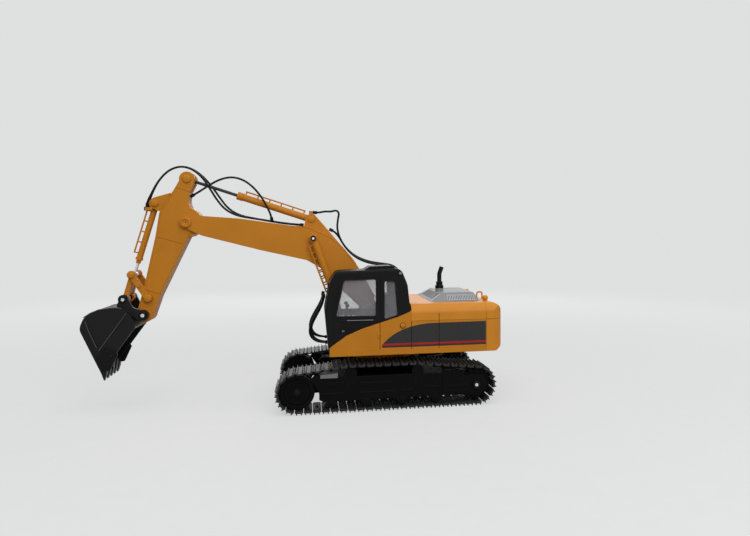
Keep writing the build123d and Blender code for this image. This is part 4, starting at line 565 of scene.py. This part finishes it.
def thin_sheet(name, corners):
    """A thin dark sheet hung from four corners."""
    verts = [at(x, y, z - drop) for drop in (0.0, SHEET_THICKNESS) for x, y, z in corners]
    faces = [(0, 1, 2, 3), (4, 5, 6, 7), (0, 1, 5, 4), (1, 2, 6, 5), (2, 3, 7, 6), (3, 0, 4, 7)]
    add_mesh(name, verts, faces, "slot_dark", "house", angle=0)


def cover_backings():
    """Dark sheets behind the engine cover's front slots and top slots, painted shade for what shows through
    them.
    """
    foot, head = FRONT_SHEET
    half = FRONT_SHEET_SIDE
    thin_sheet("cover_front_back", [(x, y, z) for y, (x, z) in (
        (-half, foot), (-half, head), (half, head), (half, foot))])
    front, rear = TOP_SHEET_X
    for side, word in SIDES:
        near, far = (side * y for y in TOP_SHEET_Y)
        thin_sheet(f"cover_slot_back_{word}", [(x, y, TOP_SHEET_Z) for x, y in (
            (front, near), (rear, near), (rear, far), (front, far))])


def slope_plate(name, x_range, foot, head, lift, thickness, material):
    """A thin bar on a slope that runs from foot to head, both (y, z), lifted off it."""
    run = (Vector(head) - Vector(foot)).normalized()
    out = Vector((-run.y, run.x))
    if out.y < 0:
        out = -out
    verts = []
    for x in x_range:
        for end in (foot, head):
            for height in (lift, lift + thickness):
                p = Vector(end) + out * height
                verts.append(at(x, p.x, p.y))
    faces = [(0, 1, 3, 2), (4, 6, 7, 5), (0, 4, 5, 1), (2, 3, 7, 6), (1, 5, 7, 3), (0, 2, 6, 4)]
    add_mesh(name, verts, faces, material, "house", angle=0)


GRILLE_X = (75.5, 108.5)
GRILLE_SLOPE = ((50.2, 121.4), (43.6, 126.4))  # (y, z) of its foot and its head
GRILLE_RIMS = (((50.9, 120.9), (50.1, 121.5)), ((43.7, 126.3), (42.9, 126.9)))
GRILLE_SUNK = -0.1
SLAT_COUNT = 17
SLAT_HALF = 0.65
SLAT_LIFT = 0.2
SLAT_THICKNESS = 0.5


def cover_grilles():
    """Fine upright slats over a dark sheet of painted shade on both flanks of the engine cover, between two
    rims.
    """
    front, rear = GRILLE_X
    for side, word in SIDES:
        foot, head = ((side * y, z) for y, z in GRILLE_SLOPE)
        slope_plate(f"grille_sheet_{word}", GRILLE_X, foot, head, GRILLE_SUNK, 0.35, "slot_dark")
        for i in range(SLAT_COUNT):
            x = front + (rear - front) * i / (SLAT_COUNT - 1)
            slope_plate(f"grille_slat_{word}_{i}", (x - SLAT_HALF, x + SLAT_HALF), foot, head, SLAT_LIFT,
                        SLAT_THICKNESS, "grille_grey")
        for i, rim in enumerate(GRILLE_RIMS):
            low, high = ((side * y, z) for y, z in rim)
            slope_plate(f"grille_rim_{word}_{i}", (front - 1, rear + 1), low, high, GRILLE_SUNK, 0.9,
                        "grille_grey")


LOCK = (16.6, 95.5)
LOCK_DOME = ((2.7, 0), (2.6, 0.5), (1.9, 1.0), (0.9, 1.25), (0.2, 1.3))
LOCK_RING = ((3.5, -0.1), (3.4, 0.25), (2.9, 0.25), (2.8, -0.1))
LOCK_RISE = 1.2


def lock_knobs():
    """A domed round lock in a ring on each side panel's door."""
    x, z = LOCK
    for side, word in SIDES:
        lathe(f"panel_lock_{word}", (x, HOUSE_SIDE + LOCK_RISE, z), side, LOCK_DOME, "orange_plastic",
              "house")
        lathe(f"panel_lock_ring_{word}", (x, HOUSE_SIDE, z), side, LOCK_RING, "seam_brown", "house",
              closed=True)


# ---------------------------------------------------------------- cab trim

CAB_FACE = -73.0
# window corners as (x, z, radius)
WINDOWS = (((-61.0, 107.4, 3), (-51.6, 149.4, 4), (-14.4, 150.2, 3), (-14.0, 107.0, 3)),
           ((-5.3, 102.6, 2), (-5.3, 148.0, 3), (7.8, 148.0, 4), (11.2, 107.6, 3)))
DOOR_GAP = ((-63.2, 86.5), (-63.6, 106.0), (-55.6, 151.8), (-9.4, 152.8), (-9.6, 100.4))
DOOR_RIB = ((-48.0, 103.1), (-18.0, 103.1))
DOOR_GRIP = ((-54.8, 94.2), (-52.4, 97.2), (-47.0, 96.0), (-43.2, 91.8), (-49.0, 90.6))
# name, path, half width, inner and outer distance from the cab's face, material, and whether it closes
CAB_LINES = (
    *((f"window_seal_{i}", arc_points(corners), 0.7, -0.3, 0.35, "black_plastic", True)
      for i, corners in enumerate(WINDOWS)),
    ("door_gap", DOOR_GAP, 0.3, -0.3, 0.06, "slot_dark", False),
    ("door_rib", DOOR_RIB, 0.5, 0.9, 1.3, "ledge_grey", False),
    ("door_handle", DOOR_GRIP, 0.6, -0.2, 1.0, "black_plastic", True),
)
DOOR_LOCK = ((-53.6, -50.6), (CAB_FACE - 0.9, CAB_FACE + 0.2), (90.2, 92.0))
# painted glints: pale blocks inside the front window, along its sill, as (x, width)
GLINTS = ((-55.2, 4.6), (-46.6, 2.6), (-41.8, 4.2))
GLINT_Y, GLINT_Z = (-68.6, -68.0), (107.7, 108.7)
CAB_RAIL = ((-62.5, 151.5), (-65.6, 146.0), (-67.6, 128.0), (-68.6, 104.0), (-68.4, 88.0), (-66.0, 83.6))
CAB_RAIL_Y = -70.0
CAB_RAIL_RADIUS = 1.3
CAB_SCREW = (13.6, 73.7, 156.4)
CAB_SCREW_HEAD = ((1.7, 0), (1.6, 0.5), (0.9, 0.7), (0.2, 0.7))


def cab_trim():
    """Window seals, the door's gap, rib, handle and lock, the sill's painted glints, the front rail and a
    screw.
    """
    for name, path, half, inner, outer, material, closed in CAB_LINES:
        strip_y(name, path, half, CAB_FACE - inner, CAB_FACE - outer, material, "house", closed)
    box_piece("door_lock", *DOOR_LOCK, "ledge_grey", "house")
    for i, (x, wide) in enumerate(GLINTS):
        box_piece(f"sill_glint_{i}", (x, x + wide), GLINT_Y, GLINT_Z, "worn_white", "house", bevel=0.1)
    rail = smooth_line("cab_rail_line", [(x, CAB_RAIL_Y, z) for x, z in CAB_RAIL])
    tube_mesh("cab_front_rail", rail, CAB_RAIL_RADIUS, "hose_rubber", sides=12, body="house")
    lathe("cab_screw", CAB_SCREW, -1, CAB_SCREW_HEAD, "ledge_grey", "house", steps=20)


BAND_CORNER = 14.0  # radius of the counterweight's rear corners
BAND_STEPS = 6


def counterweight_band():
    """Thin dark line where the counterweight's lower band starts, carried round its corners."""
    half = [(COUNTERWEIGHT_FRONT, HOUSE_SIDE)]
    for k in range(BAND_STEPS + 1):
        a = math.radians(90 * k / BAND_STEPS)
        half.append((HOUSE_REAR - BAND_CORNER + BAND_CORNER * math.sin(a),
                     HOUSE_SIDE - BAND_CORNER + BAND_CORNER * math.cos(a)))
    line = [at(x, -y, CREASE_Z) for x, y in half] + [at(x, y, CREASE_Z) for x, y in reversed(half)]
    tube_mesh("counterweight_crease", line, CREASE_HALF, "seam_brown", sides=8, body="house")


# ---------------------------------------------------------------- boom and stick trim

# caps as shares of the radius and of the height
DOME = ((1.0, 0.0), (1.0, 0.35), (0.86, 0.75), (0.55, 0.95), (0.05, 1.0))
DISH = ((1.0, 0.0), (1.0, 0.6), (0.86, 1.0), (0.72, 1.0), (0.6, 0.2), (0.05, 0.0))
# name, pin, y, radius, height, form, material and body of each pair of caps
PIN_CAPS = (
    ("stick_top_cap", STICK_TOP, STICK_SIDE, 5.0, 2.4, DOME, "orange_plastic", "stick"),
    ("boom_tip_cap", BOOM_TIP, BOOM_SIDE + 1.5, 5.7, 1.2, DISH, "orange_plastic", "boom"),
    ("bucket_cylinder_cap", BUCKET_CYLINDER_TOP, 8.0, 4.2, 2.2, DOME, "orange_plastic", "stick"),
    ("rocker_top_cap", ROCKER_TOP, 16.4, 3.9, 1.4, DOME, "orange_plastic", "rocker"),
    ("rocker_pivot_cap", ROCKER_PIVOT, 15.5, 4.5, 2.2, DOME, "orange_plastic", "stick"),
    ("stick_cylinder_cap", STICK_CYLINDER_BASE, 11.0, 4.3, 1.6, DOME, "orange_plastic", "boom"),
    ("idler_cap", IDLER, 74.4, 3.7, 2.0, DOME, "black_plastic", "undercarriage"),
)
CYLINDER_RING = ((4.7, -0.4), (4.7, 0.6), (4.1, 0.9), (3.6, 0.9), (3.5, -0.4))
CYLINDER_RING_Y = 24.8


def pin_caps():
    """Moulded caps over the pins of the arm and of the idlers, and a ring on each boom cylinder's top eye."""
    for name, (x, z), y, radius, height, form, material, body in PIN_CAPS:
        profile = [(share * radius, rise * height) for share, rise in form]
        for side, word in SIDES:
            lathe(f"{name}_{word}", (x, y, z), side, profile, material, body)
    x, z = BOOM_CYLINDER_TOP
    for side, word in SIDES:
        lathe(f"cylinder_ring_{word}", (x, CYLINDER_RING_Y, z), side, CYLINDER_RING, "orange_plastic",
              f"boom_cylinder_barrel_{word}", closed=True)


BOOM_CREST = ((-113.0, 211.4), (-104.0, 211.9), (-94.9, 211.0), (-86.6, 208.4), (-79.0, 204.6),
              (-69.6, 200.8), (-60.6, 195.8), (-53.4, 189.8), (-47.0, 182.6), (-41.4, 174.8), (-36.4, 166.7))
STICK_EDGES = (((-245.4, 252.0), (-259.4, 228.6), (-263.6, 200.0), (-275.6, 142.4), (-282.0, 116.0)),
               ((-262.2, 129.4), (-230.0, 199.6), (-223.6, 214.6)))
STICK_SEAMS = (((-264.6, 199.2), (-235.5, 190.8)), ((-274.3, 137.0), (-259.9, 131.6)),
               ((-243.3, 257.0), (-228.6, 252.0)))
RIM_SUNK = 0.2
BOOM_RIM_RISE, STICK_RIM_RISE, STICK_SEAM_RISE = 0.4, 0.35, 0.06
CLAMP_X, CLAMP_Y, CLAMP_Z = (-278.4, -272.0), (4.4, 7.8), (229.6, 234.2)


def arm_trim():
    """Rims along the edges of the boom and the stick, the stick's moulding seams and the hose clamps."""
    for side, word in SIDES:
        inner, rim = (side * (BOOM_SIDE + rise) for rise in (-RIM_SUNK, BOOM_RIM_RISE))
        strip_y(f"boom_rim_{word}", BOOM_CREST, 0.5, inner, rim, "orange_plastic", "boom")
        rises = (-RIM_SUNK, STICK_RIM_RISE, STICK_SEAM_RISE)
        inner, rim, seam_top = (side * (STICK_SIDE + rise) for rise in rises)
        for i, edge in enumerate(STICK_EDGES):
            strip_y(f"stick_rim_{word}_{i}", edge, 0.7, inner, rim, "orange_plastic", "stick")
        for i, seam in enumerate(STICK_SEAMS):
            strip_y(f"stick_seam_{word}_{i}", seam, 0.3, inner, seam_top, "seam_brown", "stick")
        depths = sorted(side * y for y in CLAMP_Y)
        box_piece(f"hose_clamp_{word}", CLAMP_X, depths, CLAMP_Z, "black_plastic", "stick")


# ---------------------------------------------------------------- undercarriage and bucket trim

# the ledge is pale grey: partly its own tone, partly a painted highlight where the frame's front top catches
# the light
LEDGE = ((-78.0, 39.0), (-58.4, 39.0), (-58.4, 44.6), (-78.0, 43.2))
GUARD = ((62.5, 14.0), (92.0, 14.0), (98.0, 20.0), (98.0, 28.5), (90.5, 35.0), (84.0, 41.0), (62.5, 43.0))
YOKE = ((-76.0, 19.5), (-76.0, 43.4), (-84.5, 42.6), (-89.5, 38.0), (-84.0, 30.5))
# name, outline, inner and outer y, material and bevel of each plate on the outside of a track frame
FRAME_PLATES = (("frame_ledge", LEDGE, 74.0, 79.0, "ledge_grey", 0.5),
                ("idler_yoke", YOKE, 75.2, 77.4, "frame_black", 0.4),
                ("drive_guard", GUARD, 77.4, 78.7, "frame_black", 0.4))
RIVETS = ((66.0, 38.5), (76.0, 38.0), (66.0, 17.5), (78.0, 17.5), (90.0, 18.0))
RIVET_HEAD = ((1.5, 0), (1.4, 0.4), (0.9, 0.8), (0.2, 0.9))
RIVET_Y = 78.6


def frame_trim():
    """Ledge and idler yoke at the front of each track frame, and a riveted guard before the sprocket."""
    for side, word in SIDES:
        for name, outline, inner, outer, material, bevel in FRAME_PLATES:
            plate_y(f"{name}_{word}", outline, side * inner, side * outer, material, "undercarriage", bevel)
        for i, (x, z) in enumerate(RIVETS):
            lathe(f"guard_rivet_{word}_{i}", (x, RIVET_Y, z), side, RIVET_HEAD, "frame_black",
                  "undercarriage", steps=16)


# a screw cup as shares of its radius, with heights in mm
SCREW_CUP = ((1.0, -0.6), (1.0, 0.5), (0.86, 0.9), (0.62, 0.7), (0.46, 0.35), (0.46, -0.6))
# name, pin, y, radius and body of each pair of cups
CUPS = (("link_pin", LINK_PIN, 21.2, 4.0, "bucket"), ("bucket_pivot", BUCKET_PIVOT, 21.4, 4.4, "stick"),
        ("hub", SPROCKET, 80.8, 4.2, "undercarriage"), ("cylinder", BOOM_CYLINDER_TOP, 26.3, 3.2, "boom"))


def screw_cups():
    """Dark cups whose middles leave the bright screws showing."""
    for side, word in SIDES:
        for name, (x, z), y, radius, body in CUPS:
            profile = [(share * radius, height) for share, height in SCREW_CUP]
            lathe(f"{name}_cup_{word}", (x, y, z), side, profile, "black_plastic", body, closed=True)


BUCKET_CROWN = ((-336.4, 108.6), (-329.5, 113.4), (-321.0, 117.0), (-312.0, 118.4), (-303.6, 119.0),
                (-297.4, 117.8))
BUCKET_CROWN_Y = (27.3, 28.0)
BUCKET_RIBS = (((-292.0, 112.2), (-320.2, 71.0)), ((-334.0, 104.8), (-331.4, 95.6), (-322.4, 74.6)))
BUCKET_RIB_Y = (28.3, 29.0)


def bucket_trim():
    """Raised edge along the bucket's skin and ribs on its side plates, in a lighter grey that paints their
    highlights.
    """
    for side, word in SIDES:
        inner, outer = (side * y for y in BUCKET_CROWN_Y)
        strip_y(f"bucket_rim_{word}", BUCKET_CROWN, 0.5, inner, outer, "satin_grey", "bucket")
        inner, outer = (side * y for y in BUCKET_RIB_Y)
        for i, line in enumerate(BUCKET_RIBS):
            strip_y(f"bucket_rib_{word}_{i}", line, 0.45, inner, outer, "satin_grey", "bucket")


# ---------------------------------------------------------------- hoses

HOSE_DIAMETER = 2.5
FERRULE_RADIUS = HOSE_DIAMETER * 0.78
FERRULE_LENGTH = 6.0
# route points, the same as the CAD hoses'
STICK_HOSES = (
    ((-275.2, -6, 233.8), (-275.2, -6, 240.0), (-271.6, -6, 247.6), (-264.2, -6, 263.2), (-253.4, -6, 276.6),
     (-240.0, -6, 282.8), (-227.0, -6, 280.3), (-215.2, -6, 271.0), (-206.4, -6, 257.4), (-198.4, -6, 243.6),
     (-188.8, -6, 231.6), (-175.2, -6, 224.4), (-158.0, -6, 221.6), (-138.5, -6, 218.6), (-117.5, -6, 215.2),
     (-97.0, -6, 213.6)),
    ((-275.2, 6, 233.8), (-275.8, 6, 241.0), (-273.2, 6, 249.6), (-266.2, 6, 265.4), (-254.8, 6, 278.8),
     (-241.6, 6, 284.0), (-228.6, 6, 281.6), (-216.0, 6, 272.6), (-205.2, 6, 259.8), (-196.0, 6, 246.0),
     (-187.0, 6, 233.6), (-174.0, 6, 225.4), (-157.0, 6, 221.8), (-137.5, 6, 218.4), (-116.5, 6, 215.0),
     (-97.0, 6, 213.6)),
    ((-227.3, -9.2, 246.2), (-220.6, -9.2, 250.4), (-208.8, -9.2, 258.6), (-196.4, -9.2, 266.8),
     (-182.4, -9.2, 271.0), (-169.0, -9.2, 268.4), (-156.8, -9.2, 260.0), (-146.0, -9.2, 246.6),
     (-138.6, -9.2, 232.6), (-135.0, -9.2, 223.4), (-134.2, -9.2, 217.8)),
)
BOOM_HOSES = (
    ((-86.3, -8, 229.2), (-80.0, -8, 228.6), (-71.5, -8, 230.6), (-63.5, -8, 230.2), (-58.0, -8, 232.2),
     (-53.8, -8, 229.0), (-55.6, -8, 220.5), (-56.6, -8, 208.5), (-52.4, -8, 195.2), (-43.0, -8, 181.4),
     (-31.0, -8, 171.6), (-16.6, -8, 166.0), (-1.6, -8, 163.8), (11.6, -8, 162.6), (20.0, -8, 156.4),
     (23.0, -8, 145.0), (22.6, -8, 131.5), (20.8, -8, 119.5), (20.6, -8, 110.5)),
    ((-66.0, -4, 208.6), (-60.6, -4, 206.6), (-54.6, -4, 200.2), (-49.0, -4, 190.0), (-41.0, -4, 180.4),
     (-29.6, -4, 172.6), (-15.6, -4, 167.6), (-0.6, -4, 165.4), (12.6, -4, 163.6), (20.8, -4, 157.0),
     (23.4, -4, 145.0), (22.8, -4, 131.5), (21.0, -4, 119.5), (20.8, -4, 110.5)),
)
CYLINDER_HOSES = (
    ((-72.9, 19.6, 129.4), (-72.8, 19.6, 123.4), (-76.0, 19.6, 113.8), (-81.6, 19.6, 103.4),
     (-86.8, 19.6, 93.4), (-88.2, 19.6, 84.0), (-84.6, 19.6, 76.6), (-77.0, 19.6, 72.2), (-66.7, 19.6, 70.8)),
    ((-72.9, 22.6, 129.4), (-73.6, 22.6, 122.8), (-77.6, 22.6, 113.4), (-83.4, 22.6, 103.6),
     (-88.8, 22.6, 93.0), (-90.2, 22.6, 82.8), (-86.0, 22.6, 75.2), (-77.6, 22.6, 71.2), (-66.7, 22.6, 70.8)),
)


def make_hose(name, route, bodies):
    """A rubber hose held at both ends in ferrules, each riding on one of the two bodies that it joins."""
    line = smooth_line(name, route)
    obj = tube_mesh(name, line, HOSE_DIAMETER / 2, "hose_rubber")
    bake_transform(obj)
    for body, points in zip(bodies, (line, line[::-1])):
        near = [p for p in points if (p - points[0]).length < FERRULE_LENGTH * MM]
        tube_mesh(f"{name}_ferrule_{body}", near, FERRULE_RADIUS, "black_plastic", body=body)
    return obj


def make_hoses():
    """All hoses, in place of the CAD hose nodes, which are hidden."""
    stick = [make_hose(f"stick_hose_{i}", route, ("stick", "boom"))
             for i, route in enumerate(STICK_HOSES)]
    boom = [make_hose(f"boom_hose_{i}", route, ("boom", "house"))
            for i, route in enumerate(BOOM_HOSES)]
    for side, word in SIDES:
        for i, corners in enumerate(CYLINDER_HOSES):
            route = [(x, side * y, z) for x, y, z in corners]
            make_hose(f"cylinder_hose_{word}_{i}", route, ("boom", "house"))
    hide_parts("stick_hoses")
    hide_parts("boom_hoses")
    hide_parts("cylinder_hoses")


# ---------------------------------------------------------------- floor, light and camera

CAMERA_PLACE = (-86.9, -798.9, 197.6)
CAMERA_LOOK = (0.2149, 0.9766, 0.0)
CAMERA_SHIFT = (-0.1, -0.04)
LENS, SENSOR = 30.1, 36.0
CLIP_START = 0.01  # metres

BACKDROP = (0.738, 0.745, 0.745)  # the pale tone behind the object
AMBIENT = grey(0.33)
FLOOR_HALF = 3.0
PAPER_GREY = (0.245, 0.255)  # the paper's grain runs between these
PAPER_GRAIN = 60.0
# start and end of a change with the distance from the middle, and the values there
GLOW_CHANGE = (0.3, 1.4, 0.705, 0.82)
FADE_CHANGE = (1.0, 2.2, 1.0, 0.0)

LIGHT_TARGET = (0.0, 0.0, 0.12)
# name, place, width and length, and power in watts
LIGHTS = (("softbox_top", (0.05, -0.35, 1.5), (1.8, 1.4), 9.0),
          ("softbox_front", (0.45, -1.5, 0.75), (1.2, 0.7), 7.2),
          ("strip_front", (0.0, -1.05, 1.0), (1.6, 0.45), 3.4),
          ("strip_back", (0.2, 1.5, 0.75), (1.6, 0.4), 5.5))


def aim(obj, run):
    """Point a camera's or a lamp's axis along a direction, upright."""
    obj.rotation_euler = run.to_track_quat("-Z", "Y").to_euler()


def set_camera():
    """Level camera in front of the cab's side, turned a little towards the rear."""
    data = bpy.data.cameras.new("camera")
    data.sensor_width = SENSOR
    data.lens = LENS
    data.shift_x, data.shift_y = CAMERA_SHIFT
    data.clip_start = CLIP_START
    cam = link("camera", data)
    cam.location = at(*CAMERA_PLACE)
    aim(cam, Vector(CAMERA_LOOK))
    bpy.context.scene.camera = cam


def seen_directly(tree):
    """1 for camera, mirror and see-through rays."""
    path = add(tree, "ShaderNodeLightPath")
    value = path.outputs["Is Camera Ray"]
    for ray in ("Is Glossy Ray", "Is Transmission Ray"):
        most = add(tree, "ShaderNodeMath", operation="MAXIMUM")
        tree.links.new(value, most.inputs[0])
        tree.links.new(path.outputs[ray], most.inputs[1])
        value = most.outputs[0]
    return value


def make_world():
    """Even soft light all round, seen as the pale backdrop."""
    world = bpy.data.worlds.new("world")
    bpy.context.scene.world = world
    world.use_nodes = True
    tree = world.node_tree
    unseen, seen = colour_mix(tree, seen_directly(tree), tree.nodes["Background"].inputs["Color"])
    unseen.default_value = (*AMBIENT, 1)
    seen.default_value = (*BACKDROP, 1)


def change_outward(tree, change, socket):
    """Drive a socket with a value that changes smoothly with the distance from the middle."""
    coords = add(tree, "ShaderNodeTexCoord")
    reach = add(tree, "ShaderNodeVectorMath", operation="LENGTH")
    tree.links.new(coords.outputs["Object"], reach.inputs[0])
    span = add(tree, "ShaderNodeMapRange", interpolation_type="SMOOTHSTEP")
    for label, value in zip(("From Min", "From Max", "To Min", "To Max"), change):
        span.inputs[label].default_value = value
    tree.links.new(reach.outputs["Value"], span.inputs["Value"])
    tree.links.new(span.outputs["Result"], socket)


def make_floor():
    """Pale paper that keeps the shadow and fades into the backdrop far out."""
    corners = [(x * FLOOR_HALF, y * FLOOR_HALF, 0) for x, y in ((-1, -1), (1, -1), (1, 1), (-1, 1))]
    mesh = bpy.data.meshes.new("floor")
    mesh.from_pydata(corners, [], [(0, 1, 2, 3)])
    floor = link("floor", mesh)
    mat, tree, shader = new_material("floor_paper", grey(PAPER_GREY[0]), 0.9)
    darker, lighter = (grey(value) for value in PAPER_GREY)
    ramp(tree, noise(tree, PAPER_GRAIN, 3.0), (0.3, darker), (0.7, lighter), shader.inputs["Base Color"])
    shader.inputs["Specular IOR Level"].default_value = 0.0
    shader.inputs["Emission Color"].default_value = (*BACKDROP, 1)
    glow = add(tree, "ShaderNodeMath", operation="MULTIPLY")
    tree.links.new(seen_directly(tree), glow.inputs[0])
    tree.links.new(glow.outputs[0], shader.inputs["Emission Strength"])
    change_outward(tree, GLOW_CHANGE, glow.inputs[1])
    change_outward(tree, FADE_CHANGE, shader.inputs["Alpha"])
    mesh.materials.append(mat)


def make_lights():
    """Large soft lamps above and before the object, and strips for its edges."""
    for name, place, size, power in LIGHTS:
        data = bpy.data.lights.new(name, "AREA")
        data.shape = "RECTANGLE"
        data.size, data.size_y = size
        data.energy = power
        lamp = link(name, data)
        lamp.location = place
        aim(lamp, Vector(LIGHT_TARGET) - Vector(place))


# ---------------------------------------------------------------- main

def main():
    bpy.context.scene.view_settings.view_transform = "Standard"
    set_camera()
    make_hoses()
    dress_nodes()
    side_decals()
    panel_seams()
    cover_backings()
    cover_grilles()
    lock_knobs()
    cab_trim()
    counterweight_band()
    pin_caps()
    arm_trim()
    frame_trim()
    screw_cups()
    bucket_trim()
    make_world()
    make_floor()
    make_lights()


main()
